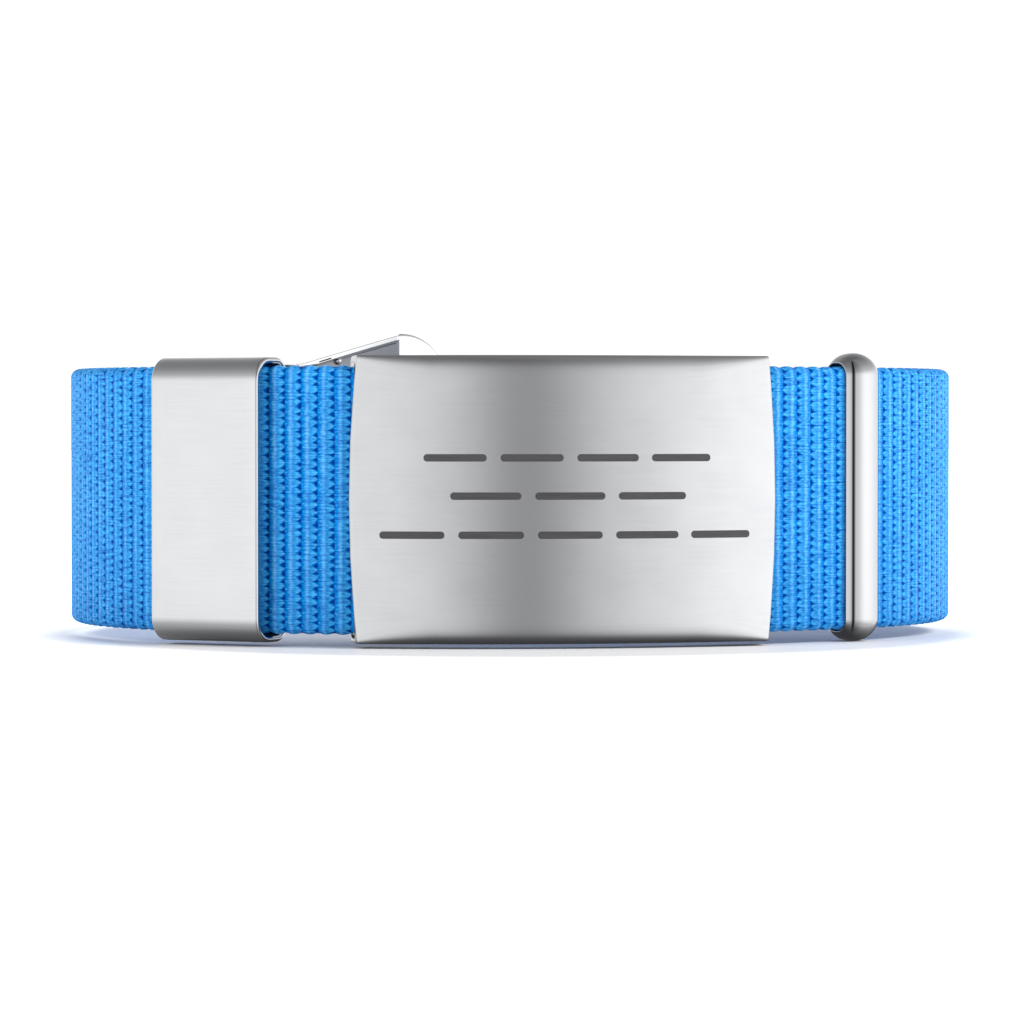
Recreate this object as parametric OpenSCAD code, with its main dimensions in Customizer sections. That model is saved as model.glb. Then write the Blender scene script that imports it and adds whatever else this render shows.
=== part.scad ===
// Medical alert bracelet on nylon webbing, standing on its edge: the loop's axis is vertical,
// the plate faces -Y, and the origin lies on the floor under the middle of the loop.

/* [Webbing loop] */
// Width of the whole loop over the webbing, left to right
loop_w = 70.2; // [62:0.2:90]
// Depth of the whole loop over the webbing, front to back
loop_d = 56; // [50:0.2:70]
// How round the two side bends are, as a share of the loop's half depth
side_bend = 0.87; // [0.8:0.01:0.92]
// Width of the webbing
strap_w = 20; // [16:0.5:25]
// Thickness of the webbing over its ribs
strap_t = 1.6; // [1.2:0.1:2]
// Distance from one cross rib to the next
rib_pitch = 1.28; // [1:0.02:2.4]
// Depth of the groove between two ribs
rib_relief = 0.2; // [0.1:0.05:0.3]
// Width of the thinner selvedge along each edge
selvedge_w = 0.4; // [0.2:0.05:0.8]
// Thickness of the selvedge
selvedge_t = 1; // [0.8:0.05:1.1]

/* [Identity plate] */
// Length of the plate along its curve
plate_len = 32.8; // [26:0.2:38]
// How far each end of the plate bows out between its corners
end_bow = 0.55; // [0.2:0.05:1]
// Thickness of the plate's face
plate_t = 0.9; // [0.7:0.05:1.2]
// How far the plate reaches above the webbing
plate_over = 0.7; // [0.7:0.05:1.4]
// How far the plate reaches below the webbing
plate_under = 0.55; // [0.4:0.05:0.6]
// Height of the bent-back band at the middle of each long edge
bevel_h = 1.25; // [0.6:0.05:1.3]
// Angle of the bent-back bands, from level
bevel_slope = 48; // [48:1:60]
// Thickness of the lips behind the webbing
lip_t = 0.5; // [0.4:0.05:0.8]
// How far each lip reaches behind the webbing
lip_reach = 1.3; // [0.8:0.1:3]
// Height of the engraved dashes
dash_h = 0.55; // [0.3:0.05:1]
// Depth of the engraved dashes
dash_deep = 0.06; // [0.03:0.01:0.15]
// Gap between two engraved dashes
dash_gap = 1; // [0.5:0.1:2]

/* [Sleeve] */
// Length of the sleeve along the webbing
sleeve_len = 9.4; // [7:0.2:13]
// Thickness of the sleeve's sheet
sleeve_t = 0.5; // [0.4:0.05:0.5]
// Room between the webbing and the sleeve's front wall
sleeve_front_room = 0.9; // [0.5:0.05:1.2]
// Room between the webbing and the sleeve's back wall
sleeve_back_room = 0.4; // [0.2:0.05:0.8]
// Radius of the sleeve's front bends
sleeve_front_r = 1.5; // [1:0.1:1.5]
// Radius of the sleeve's back bends
sleeve_back_r = 1.4; // [0.6:0.05:1.4]
// Distance of the sleeve's middle from the middle of the plate, along the webbing
sleeve_at = 26.8; // [26:0.1:34]

/* [Keeper ring] */
// Width of the ring's bar along the webbing
keeper_w = 3; // [2:0.1:5]
// Thickness of the ring's bar
keeper_t = 0.75; // [0.5:0.05:0.8]
// Room between the webbing and the nearest ends of the ring's front and back bars
keeper_side_room = 0.15; // [0.1:0.05:0.6]
// Room between the webbing's upper edge and the ring's upper bar
keeper_top_room = 0.3; // [0.2:0.05:1.5]
// Room between the webbing's lower edge and the ring's lower bar
keeper_low_room = 0.15; // [0.15:0.05:0.4]
// Radius of the ring's outer corners
keeper_r = 1.8; // [1:0.1:1.8]
// Distance of the ring's middle from the middle of the plate, along the webbing
keeper_at = 24.6; // [23:0.1:34]
// Angle by which the loose ring is turned on the webbing
keeper_skew = 7; // [0:1:8]

/* [Clasp] */
// Length of the clasp's frame along the webbing
frame_len = 14; // [12:0.2:18]
// Thickness of the frame's base
frame_t = 0.6; // [0.4:0.05:1]
// Thickness of the frame's two side walls
frame_wall = 0.4; // [0.3:0.05:0.45]
// How far the side walls stand out from the webbing
frame_rise = 1.6; // [1.5:0.1:1.8]
// Width of the frame's end bridge
bridge_w = 1.2; // [0.8:0.1:2]
// Diameter of the pin
pin_d = 1; // [0.8:0.1:1.2]
// Diameter of the lever's round knuckle on the pin
knuckle_d = 2.3; // [2.1:0.1:2.4]
// Distance from the frame's left end to the pin
pin_in = 1.45; // [1.4:0.05:2]
// Thickness of the lever's sheet
lever_t = 0.6; // [0.4:0.05:0.8]
// Length of the lever from its pin to the crease of its tab
lever_len = 10.7; // [8:0.1:12]
// Length of the tab past the crease
tab_len = 4.9; // [3:0.1:6]
// Radius of the tab's corners
tab_r = 4.6; // [1:0.1:4.8]
// Angle at which the tab bends away from the webbing
tab_bend = 20; // [5:1:35]
// Height of the lever's upper edge above the webbing, where its ear starts
ear_start = 0.8; // [0.75:0.05:1.4]
// Height of the lever's upper edge above the webbing, at the tab
ear_peak = 3.45; // [2:0.05:5]
// Distance from the pin to the start of the ear
ear_in = 1.3; // [1.25:0.05:2]
// Width of the folded rim along the ear
rim_w = 0.45; // [0.3:0.05:0.6]
// Depth of the folded rim
rim_deep = 1; // [0.5:0.1:1.2]
// Diameter of the small stud on the ear
stud_d = 0.65; // [0.4:0.05:0.7]
// Distance of the clasp's middle from the middle of the back, along the webbing
clasp_at = 8.4; // [4:0.1:12]

/* [Clearances] */
// Gap between the webbing and the metal round it
band_gap = 0.1; // [0.05:0.01:0.15]
// Gap between the webbing's ribs and the plate in front or the lips and frame behind
face_gap = 0.15; // [0.1:0.01:0.25]
// Gap between the lever and the frame
lever_gap = 0.15; // [0.1:0.01:0.2]
// Gap round the pin
pin_gap = 0.06; // [0.04:0.01:0.1]

/* [Hidden] */
$fn = 120;
deg = 180 / PI;
tiny = 0.01;
// How far a cutter reaches past what it cuts
past = 1;

// The webbing's middle line is an oval of four arcs: two flat ones and two side bends.
half_w = (loop_w - strap_t) / 2;
half_d = (loop_d - strap_t) / 2;
side_r = side_bend * half_d;
flat_r = (half_w * half_w + half_d * half_d - 2 * half_w * side_r) / (2 * (half_d - side_r));
arc_split = atan((half_w - side_r) / (flat_r - half_d));
flat_len = flat_r * arc_split / deg;
side_len = side_r * (90 - arc_split) / deg;
loop_len = 4 * (flat_len + side_len);
rib_count = round(loop_len / rib_pitch);
// The ring rests on the floor, and the webbing's lower edge lies just over its lower bar
strap_low = keeper_t + keeper_low_room;
strap_top = strap_low + strap_w;
strap_out_r = flat_r + strap_t / 2;
strap_in_r = flat_r - strap_t / 2;
// One rib: how far along its pitch each point lies, and its depth as a share of the relief
RIB_FORM = [[0, 1], [0.2, 0], [0.8, 0]];
selvedge_steps = 120;

plate_in_r = strap_out_r + face_gap;
plate_out_r = plate_in_r + plate_t;
plate_low = strap_low - plate_under;
plate_top = strap_top + plate_over;
plate_mid = (plate_low + plate_top) / 2;
plate_half_turn = plate_len / 2 / plate_out_r * deg;
plate_half_w = plate_out_r * sin(plate_half_turn);
end_r = (plate_top - plate_low) * (plate_top - plate_low) / (8 * end_bow) + end_bow / 2;
lip_out_r = strap_in_r - face_gap;
// Bent-back band: how far out along the plate, and its height as a share of the middle's
BEVEL_FORM = [[0, 1], [0.62, 0.95], [0.8, 0.64], [0.9, 0.38], [1, 0.04], [1.2, -0.6]];
// Engraved rows: height over the plate's middle and half length as shares of the plate, dashes
DASH_ROWS = [[0.145, 0.33, 4], [0.013, 0.27, 3], [-0.122, 0.43, 5]];

sleeve_bow = side_r - sqrt(side_r * side_r - sleeve_len * sleeve_len / 4);
sleeve_front = strap_t / 2 + sleeve_front_room + sleeve_t;
sleeve_back = strap_t / 2 + sleeve_bow + sleeve_back_room + sleeve_t;
sleeve_low = strap_low - band_gap - sleeve_t;
sleeve_top = strap_top + band_gap + sleeve_t;

// The ring's inside is wide enough for the webbing's bend and for the ring's own turn, rounded
// up to the next 0.05 mm
keeper_bow = side_r - sqrt(side_r * side_r - keeper_w * keeper_w / 4);
keeper_fit = strap_t / 2 + keeper_side_room + keeper_bow + keeper_w / 2 * sin(keeper_skew);
keeper_in = ceil(20 * keeper_fit) / 20;
keeper_d = 2 * (keeper_in + keeper_t);
keeper_h = strap_top + keeper_top_room + keeper_t;

base_out_r = strap_in_r - face_gap;
base_in_r = base_out_r - frame_t;
wall_r = strap_out_r + frame_rise;
frame_low = strap_low - band_gap - frame_wall;
frame_top = strap_top + band_gap + frame_wall;
frame_x0 = -frame_len / 2 - pin_in;
frame_x1 = frame_x0 + frame_len;
pin_x = frame_x0 + pin_in;
pin_r = strap_out_r + face_gap + knuckle_d / 2;
head_h = 0.15;
head_d = pin_d + 0.6;
// The knuckle stands a little proud of the lever's sheet, and the tab laps onto its end
knuckle_proud = 0.1;
crease_lap = 0.3;
crease_step = 0.05;
lever_out_r = pin_r + knuckle_d / 2 - knuckle_proud;
lever_in_r = lever_out_r - lever_t;
knuckle_low = strap_low - band_gap + lever_gap;
knuckle_top = strap_top + band_gap - lever_gap;
crease_x = pin_x + lever_len;
lever_low = frame_low - lever_gap;
ear_z = strap_top + ear_start;
peak_z = strap_top + ear_peak;
ear_x = pin_x + ear_in;
ear_slope = (peak_z - ear_z) / (crease_x - ear_x);
rim_x0 = pin_x + 2 * ear_in;
rim_x1 = crease_x - 2 * crease_lap;
rim_drop = 0.06;
slot_in = 0.8;
slot_len = 1.4;
slot_h = 0.16;
stud_in = 3.4;
stud_x = ear_x + stud_in;

// Way along the middle line, from the front's middle towards +X, to the turn of its outward side
function turn_at(way) =
    let (m = abs(way), bend_end = flat_len + 2 * side_len)
    sign(way) * (m < flat_len ? m / flat_r * deg
        : m < bend_end ? arc_split + (m - flat_len) / side_r * deg
        : 180 - arc_split + (m - bend_end) / flat_r * deg);
function on_side(turn) = abs(turn) > arc_split && abs(turn) < 180 - arc_split;
function centre_at(turn) =
    on_side(turn) ? [sign(turn) * (half_w - side_r), 0]
        : [0, (flat_r - half_d) * (abs(turn) <= arc_split ? 1 : -1)];
function loop_point(way, out) =
    let (turn = turn_at(way), r = on_side(turn) ? side_r : flat_r)
    centre_at(turn) + (r + out) * [sin(turn), -cos(turn)];
// Turn from the back's middle at which something at radius r lies x to the right
function back_turn(x, r) = asin(x / r);

// Ribbed outline of one face of the webbing, out is +1 for the outer face and -1 for the inner
function rib_outline(out) = [
    for (i = [0 : rib_count - 1], form = RIB_FORM)
        loop_point(((i + form[0]) / rib_count - 0.5) * loop_len,
            out * (strap_t / 2 - form[1] * rib_relief))
];
function smooth_outline(out) = [
    for (i = [0 : selvedge_steps - 1])
        loop_point((i / selvedge_steps - 0.5) * loop_len, out * selvedge_t / 2)
];

module webbing_ring(outer, inner, low, high) {
    translate([0, 0, low])
        linear_extrude(high - low)
            difference() {
                polygon(outer);
                polygon(inner);
            }
}

// Places what is drawn with its outward side to -Y at a way along the webbing
module on_webbing(way) {
    translate(loop_point(way, 0))
        rotate([0, 0, turn_at(way)])
            children();
}

// Profile drawn in depth and height, carried along the webbing
module along(length) {
    rotate([90, 0, 90])
        linear_extrude(length, center = true)
            children();
}

// Upright box with its four corners rounded, front_r at low depth and back_r at high depth
module rounded_profile(y0, y1, z0, z1, front_r, back_r) {
    for (z = [z0 + front_r, z1 - front_r])
        translate([y0 + front_r, z])
            circle(front_r);
    for (z = [z0 + back_r, z1 - back_r])
        translate([y1 - back_r, z])
            circle(back_r);
    translate([y0, z0 + front_r])
        square([y1 - y0 - back_r, z1 - z0 - 2 * front_r]);
    translate([y0 + front_r, z0])
        square([y1 - y0 - front_r - back_r, z1 - z0]);
    translate([y1 - 2 * back_r, z0 + back_r])
        square([2 * back_r, z1 - z0 - 2 * back_r]);
}

module webbing_strap() {
    color("#1478D2") {
        webbing_ring(rib_outline(1), rib_outline(-1), strap_low + selvedge_w, strap_top - selvedge_w);
        webbing_ring(smooth_outline(1), smooth_outline(-1), strap_low, strap_low + selvedge_w + tiny);
        webbing_ring(smooth_outline(1), smooth_outline(-1), strap_top - selvedge_w - tiny, strap_top);
    }
}

// Part of a ring round the front arc's centre, turns counted from the front towards +X
module front_arc(r0, r1, z0, z1, turn0, turn1) {
    translate([0, flat_r - half_d, 0])
        rotate_extrude(angle = turn1 - turn0, start = 270 + turn0)
            translate([r0, z0])
                square([r1 - r0, z1 - z0]);
}

// Everything above the top band of the plate: its lower face is the band's slanting face
module bevel_cutter() {
    half = plate_len / 2;
    steps = concat([for (i = [len(BEVEL_FORM) - 1 : -1 : 1]) [-BEVEL_FORM[i][0], BEVEL_FORM[i][1]]],
                   BEVEL_FORM);
    crease = [
        for (s = steps)
            let (turn = s[0] * half / plate_out_r * deg,
                y = flat_r - half_d - plate_out_r * cos(turn),
                z = plate_top - s[1] * bevel_h)
            [plate_out_r * sin(turn), z * cos(bevel_slope) - y * sin(bevel_slope)]
    ];
    last = crease[len(crease) - 1];
    rotate([90 + bevel_slope, 0, 0])
        linear_extrude(8 * half, center = true)
            polygon(concat(crease, [[last[0], last[1] + half], [-last[0], last[1] + half]]));
}

module dash_cutters() {
    for (row = DASH_ROWS) {
        half = row[1] * plate_len;
        pitch = (2 * half + dash_gap) / row[2];
        z = plate_mid + row[0] * (plate_top - plate_low);
        for (i = [0 : row[2] - 1]) {
            from = -half + i * pitch;
            front_arc(plate_out_r - dash_deep, plate_out_r + plate_t, z - dash_h / 2, z + dash_h / 2,
                from / plate_out_r * deg, (from + pitch - dash_gap) / plate_out_r * deg);
        }
    }
}

// Outline of the plate seen from the front: only its two bowed ends cut the plate
module plate_blank() {
    intersection() {
        translate([plate_half_w - end_r, plate_mid])
            circle(end_r);
        translate([end_r - plate_half_w, plate_mid])
            circle(end_r);
    }
}

module id_plate() {
    turn = plate_half_turn + 1;
    color("#B9BABD")
        difference() {
            intersection() {
                front_arc(lip_out_r - lip_t, plate_out_r, plate_low, plate_top, -turn, turn);
                rotate([90, 0, 0])
                    linear_extrude(loop_d)
                        plate_blank();
            }
            front_arc(lip_out_r, plate_in_r, strap_low - band_gap, strap_top + band_gap,
                -turn - 1, turn + 1);
            front_arc(lip_out_r - 2 * lip_t, lip_out_r + tiny, strap_low + lip_reach,
                strap_top - lip_reach, -turn - 1, turn + 1);
            bevel_cutter();
            translate([0, 0, 2 * plate_mid])
                mirror([0, 0, 1])
                    bevel_cutter();
            dash_cutters();
        }
}

module strap_sleeve() {
    color("#C4C6C9")
        on_webbing(-sleeve_at)
            difference() {
                along(sleeve_len)
                    rounded_profile(-sleeve_front, sleeve_back, sleeve_low, sleeve_top,
                        sleeve_front_r, sleeve_back_r);
                along(2 * sleeve_len)
                    rounded_profile(sleeve_t - sleeve_front, sleeve_back - sleeve_t,
                        sleeve_low + sleeve_t, sleeve_top - sleeve_t,
                        sleeve_front_r - sleeve_t, sleeve_back_r - sleeve_t + tiny);
            }
}

// Section of the ring's bar: x is out from the inside face, y runs along the webbing
module keeper_section() {
    crown_r = keeper_w * 1.4;
    intersection() {
        translate([keeper_t - crown_r, 0])
            circle(crown_r);
        translate([0, -keeper_w / 2])
            square([keeper_t, keeper_w]);
    }
}

// Straight bar of the ring of a given length, its inside face to -X and its length along Y
module keeper_bar(length) {
    rotate([90, 0, 0])
        linear_extrude(length, center = true)
            keeper_section();
}

module keeper_corner() {
    rotate_extrude(angle = 90)
        translate([keeper_r - keeper_t, 0])
            keeper_section();
}

// The ring is drawn flat, depth along X and height along Y, then stood up round the webbing
module keeper_ring() {
    run_d = keeper_d - 2 * keeper_r;
    run_h = keeper_h - 2 * keeper_r;
    color("#D5D6D8")
        on_webbing(keeper_at)
            translate([0, 0, keeper_h / 2])
                rotate([90, 0, 90 - keeper_skew])
                    union() {
                        for (side = [0, 1])
                            mirror([side, 0, 0])
                                translate([keeper_d / 2 - keeper_t, 0, 0])
                                    keeper_bar(run_h);
                        for (end = [0, 1])
                            mirror([0, end, 0])
                                translate([0, keeper_h / 2 - keeper_t, 0])
                                    rotate([0, 0, 90])
                                        keeper_bar(run_d);
                        for (side = [0, 1], end = [0, 1])
                            mirror([side, 0, 0])
                                mirror([0, end, 0])
                                    translate([run_d / 2, run_h / 2, 0])
                                        keeper_corner();
                    }
}

// Frame of the clasp: +Y points out of the back, x runs to the right along the webbing
module on_clasp() {
    translate([0, half_d - flat_r, 0])
        rotate([0, 0, back_turn(clasp_at, flat_r)])
            children();
}

module back_arc(r0, r1, z0, z1, x0, x1) {
    turn0 = back_turn(x0, r1);
    turn1 = back_turn(x1, r1);
    rotate_extrude(angle = turn1 - turn0, start = 90 - turn1)
        translate([r0, z0])
            square([r1 - r0, z1 - z0]);
}

module at_pin(z) {
    turn = back_turn(pin_x, pin_r);
    translate([pin_r * sin(turn), pin_r * cos(turn), z])
        children();
}

module clasp_frame() {
    color("#BFC1C4")
        on_clasp()
            difference() {
                union() {
                    back_arc(base_in_r, base_out_r, frame_low, frame_top, frame_x0, frame_x1);
                    for (z = [frame_low, frame_top - frame_wall])
                        back_arc(base_in_r, wall_r, z, z + frame_wall, frame_x0, frame_x1);
                    back_arc(strap_out_r + face_gap, strap_out_r + face_gap + frame_t,
                        frame_low, frame_top, frame_x1 - bridge_w, frame_x1);
                }
                at_pin(frame_low - past)
                    cylinder(d = pin_d + pin_gap, h = frame_top - frame_low + 2 * past);
            }
}

module clasp_pin() {
    low = frame_low - pin_gap;
    high = frame_top + pin_gap;
    color("#A9ABAF")
        on_clasp() {
            at_pin(low - head_h)
                cylinder(d = pin_d, h = high - low + 2 * head_h);
            for (z = [low - head_h, high])
                at_pin(z)
                    cylinder(d = head_d, h = head_h);
        }
}

// Outline of the lever's plate seen from the front: a plain lower edge and a rising upper edge
module lever_outline() {
    polygon([
        [pin_x, knuckle_low],
        [ear_x, knuckle_low],
        [ear_x, lever_low],
        [crease_x, lever_low],
        [crease_x, peak_z - crease_step],
        [ear_x, ear_z],
        [ear_x, knuckle_top],
        [pin_x, knuckle_top]
    ]);
}

// Strip under the rising edge, from drop below it to drop + height below it
module ear_strip(x0, x1, drop, height) {
    z0 = ear_z + (x0 - ear_x) * ear_slope - drop;
    z1 = ear_z + (x1 - ear_x) * ear_slope - drop;
    polygon([[x0, z0 - height], [x1, z1 - height], [x1, z1], [x0, z0]]);
}

// Solid with the given outline in x and height, cut out of a curved sheet between two radii
module curved_cut(r0, r1) {
    intersection() {
        back_arc(r0, r1, lever_low - past, peak_z + past, 2 * frame_x0, 2 * frame_x1);
        translate([0, 2 * r1, 0])
            rotate([90, 0, 0])
                linear_extrude(2 * r1)
                    children();
    }
}

module tab_outline() {
    height = peak_z - lever_low;
    length = crease_lap + tab_len;
    intersection() {
        square([length, height]);
        union() {
            translate([-length, 0])
                square([2 * length - tab_r, height]);
            translate([0, tab_r])
                square([length, height - 2 * tab_r]);
            for (z = [tab_r, height - tab_r])
                translate([length - tab_r, z])
                    circle(tab_r);
        }
    }
}

module lever_tab() {
    r = lever_in_r + crease_step;
    turn = back_turn(crease_x - crease_lap, r);
    translate([r * sin(turn), r * cos(turn), lever_low])
        rotate([0, 0, tab_bend - turn])
            translate([0, lever_t, 0])
                rotate([90, 0, 0])
                    linear_extrude(lever_t)
                        tab_outline();
}

module clasp_lever() {
    stud_turn = back_turn(stud_x, lever_in_r);
    color("#CBCDD0")
        on_clasp()
            difference() {
                union() {
                    at_pin(knuckle_low)
                        cylinder(d = knuckle_d, h = knuckle_top - knuckle_low);
                    curved_cut(lever_in_r, lever_out_r)
                        lever_outline();
                    curved_cut(lever_in_r - rim_deep, lever_in_r + lever_t / 2)
                        ear_strip(rim_x0, rim_x1, rim_drop, rim_w);
                    lever_tab();
                    translate([(lever_in_r - rim_deep / 2) * sin(stud_turn),
                               (lever_in_r - rim_deep / 2) * cos(stud_turn),
                               ear_z + (stud_x - ear_x) * ear_slope - rim_w - stud_d / 2])
                        rotate([-90, 0, 0])
                            cylinder(d = stud_d, h = rim_deep);
                }
                at_pin(knuckle_low - past)
                    cylinder(d = pin_d + 2 * pin_gap, h = knuckle_top - knuckle_low + 2 * past);
                curved_cut(lever_in_r - 2 * rim_deep, lever_out_r + past)
                    ear_strip(rim_x0 + slot_in, rim_x0 + slot_in + slot_len,
                        rim_drop + (rim_w - slot_h) / 2, slot_h);
            }
}

webbing_strap();
id_plate();
strap_sleeve();
keeper_ring();
clasp_frame();
clasp_pin();
clasp_lever();
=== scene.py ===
"""Looks of a medical alert bracelet: steel plate, sleeve, ring and clasp on nylon webbing.

Sizes are in millimetres up to the moment a mesh is made; Blender's own unit is the metre.
"""
import logging
import math
from collections.abc import Callable, Iterable
from dataclasses import dataclass
from enum import Enum
from functools import cached_property, partial

import bmesh
import bpy
import numpy as np
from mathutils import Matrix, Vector


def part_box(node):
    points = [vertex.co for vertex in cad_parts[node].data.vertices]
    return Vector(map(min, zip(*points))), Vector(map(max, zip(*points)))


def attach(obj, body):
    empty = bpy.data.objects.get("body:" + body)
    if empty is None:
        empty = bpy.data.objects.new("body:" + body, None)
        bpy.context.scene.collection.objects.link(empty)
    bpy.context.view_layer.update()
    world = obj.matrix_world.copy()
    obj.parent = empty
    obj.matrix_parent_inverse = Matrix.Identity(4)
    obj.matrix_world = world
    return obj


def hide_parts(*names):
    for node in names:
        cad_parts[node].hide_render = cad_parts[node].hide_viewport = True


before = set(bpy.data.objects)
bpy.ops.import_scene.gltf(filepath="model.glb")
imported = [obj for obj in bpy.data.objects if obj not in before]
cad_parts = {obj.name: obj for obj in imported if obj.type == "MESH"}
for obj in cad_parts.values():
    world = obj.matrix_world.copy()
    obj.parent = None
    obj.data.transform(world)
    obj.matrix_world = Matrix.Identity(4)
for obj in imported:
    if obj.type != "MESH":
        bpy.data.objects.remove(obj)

MM = 0.001
SPAN_MAP = "span"
LOG = logging.getLogger("bracelet")
Colour = tuple[float, float, float, float]
NodeMaker = Callable[..., bpy.types.Node]
# A rounded corner takes at most this share of a side, and is held flat this far from its curve
CORNER_SHARE, CORNER_HOLD = 0.44, 0.04


class Body(Enum):
    """The frame's bodies that pieces ride on."""

    BRACELET = "bracelet"
    LEVER = "lever"


class Slot(Enum):
    """The record's material slots."""

    WEBBING = "webbing"
    PLATE = "plate_steel"
    SHEET = "sheet_steel"
    POLISHED = "polished_steel"


class Grain(Enum):
    """How the polishing lines of a metal piece are laid out."""

    ALONG_SPAN = "span"
    ALONG_OBJECT = "object"


def linear(hex_colour: str) -> Colour:
    """Turns an sRGB hex colour into a linear one.

    Args:
        hex_colour: colour such as "#2A7FD4".

    Returns:
        Linear red, green and blue, and an alpha of 1.
    """
    # The numbers are those of the sRGB standard
    parts = [int(hex_colour[i:i + 2], 16) / 255 for i in (1, 3, 5)]
    red, green, blue = [p / 12.92 if p <= 0.04045 else ((p + 0.055) / 1.055) ** 2.4 for p in parts]
    return red, green, blue, 1.0


def add_node(tree: bpy.types.NodeTree, kind: str, inputs: dict | tuple = (),
             **settings: object) -> bpy.types.Node:
    """Adds one node with its settings, its values and its links.

    Args:
        tree: node tree that gets the node.
        kind: node type without its "ShaderNode" prefix.
        inputs: value, output socket or node for each input, in order or by name or number.
        settings: attributes of the node itself.

    Returns:
        The new node.
    """
    node = tree.nodes.new("ShaderNode" + kind)
    for name, value in settings.items():
        setattr(node, name, value)
    for key, value in (inputs if isinstance(inputs, dict) else dict(enumerate(inputs))).items():
        if isinstance(value, bpy.types.Node):
            value = value.outputs[0]
        if isinstance(value, bpy.types.NodeSocket):
            tree.links.new(value, node.inputs[key])
        else:
            node.inputs[key].default_value = value
    return node


def grid_faces(rings: int, points: int, closed: bool) -> np.ndarray:
    """Lists the quads between neighbouring rings of a loft.

    Args:
        rings: number of rings.
        points: number of points in each closed ring.
        closed: whether the last ring joins the first.

    Returns:
        Four vertex numbers for each quad.
    """
    ring = np.arange(rings if closed else rings - 1)[:, None]
    point = np.arange(points)[None, :]
    here, after = ring * points, (ring + 1) % rings * points
    beside = (point + 1) % points
    quads = np.stack([here + point, after + point, after + beside, here + beside], axis=-1)
    return quads.reshape(-1, 4)


def round_corners(outline: np.ndarray, radii: np.ndarray | float, steps: int = 4) -> np.ndarray:
    """Rounds every corner of a closed outline, with the same number of points at each.

    A point on either side of each curve keeps the flats between the corners flat when shaded.

    Args:
        outline: corner points in the plane, in order.
        radii: how far back along its sides each corner's curve starts.
        steps: number of spans that each curve is drawn with.

    Returns:
        Points of the rounded outline, steps + 3 for each corner.
    """
    before, after = np.roll(outline, 1, axis=0) - outline, np.roll(outline, -1, axis=0) - outline
    to_before, to_after = np.linalg.norm(before, axis=1), np.linalg.norm(after, axis=1)
    shorter = np.minimum(to_before, to_after)
    reach = np.minimum(radii, CORNER_SHARE * shorter)
    hold = reach + CORNER_HOLD * np.minimum(1, shorter)
    start = outline + before * (reach / to_before)[:, None]
    end = outline + after * (reach / to_after)[:, None]
    first = outline + before * (hold / to_before)[:, None]
    last = outline + after * (hold / to_after)[:, None]
    t = np.linspace(0, 1, steps + 1)[None, :, None]
    curve = ((1 - t) ** 2 * start[:, None] + 2 * t * (1 - t) * outline[:, None]
             + t ** 2 * end[:, None])
    return np.concatenate([first[:, None], curve, last[:, None]], axis=1).reshape(-1, 2)


def inset(outline: np.ndarray, by: float) -> np.ndarray:
    """Moves a closed counter-clockwise outline inwards.

    Args:
        outline: points in the plane, in order.
        by: distance inwards.

    Returns:
        The moved points.
    """
    run = np.roll(outline, -1, axis=0) - np.roll(outline, 1, axis=0)
    normal = np.stack([-run[:, 1], run[:, 0]], axis=1)
    normal /= np.maximum(np.linalg.norm(normal, axis=1), 1e-9)[:, None]
    return outline + by * normal


def end_steps(radius: float, steps: int = 3) -> list[tuple[float, float]]:
    """Gives the rounded end of a loft as steps out along it and in from its outline.

    Args:
        radius: radius of the rounding.
        steps: number of spans.

    Returns:
        Distance back from the end and distance inwards, from the full outline to the end.
    """
    turns = [math.pi / 2 * i / steps for i in range(steps + 1)]
    return [(radius * (1 - math.sin(a)), radius * (1 - math.cos(a))) for a in turns]


def add_object(name: str, data: bpy.types.ID) -> bpy.types.Object:
    """Puts a mesh, a lamp or a camera into the scene.

    Args:
        name: name of the object.
        data: what it shows.

    Returns:
        The object.
    """
    thing = bpy.data.objects.new(name, data)
    bpy.context.scene.collection.objects.link(thing)
    return thing


def new_piece(name: str, points: np.ndarray, faces: Iterable, sharp_deg: float = 40.0,
              uv: np.ndarray | None = None) -> bpy.types.Object:
    """Makes a mesh object out of points in millimetres.

    Args:
        name: name of the piece.
        points: one row of three numbers per vertex.
        faces: vertex numbers of each face.
        sharp_deg: angle over which an edge stays sharp.
        uv: two numbers for each face corner, in millimetres or in repeats.

    Returns:
        The new object, linked to the scene.
    """
    mesh = bpy.data.meshes.new(name)
    mesh.from_pydata((np.asarray(points) * MM).tolist(), [], [list(map(int, f)) for f in faces])
    if uv is not None:
        mesh.uv_layers.new(name=SPAN_MAP).data.foreach_set("uv", uv.astype(np.float32).ravel())
    mesh.shade_smooth()
    work = bmesh.new()
    work.from_mesh(mesh)
    bmesh.ops.recalc_face_normals(work, faces=work.faces)
    work.to_mesh(mesh)
    work.free()
    mesh.set_sharp_from_angle(angle=math.radians(sharp_deg))
    return add_object(name, mesh)


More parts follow.
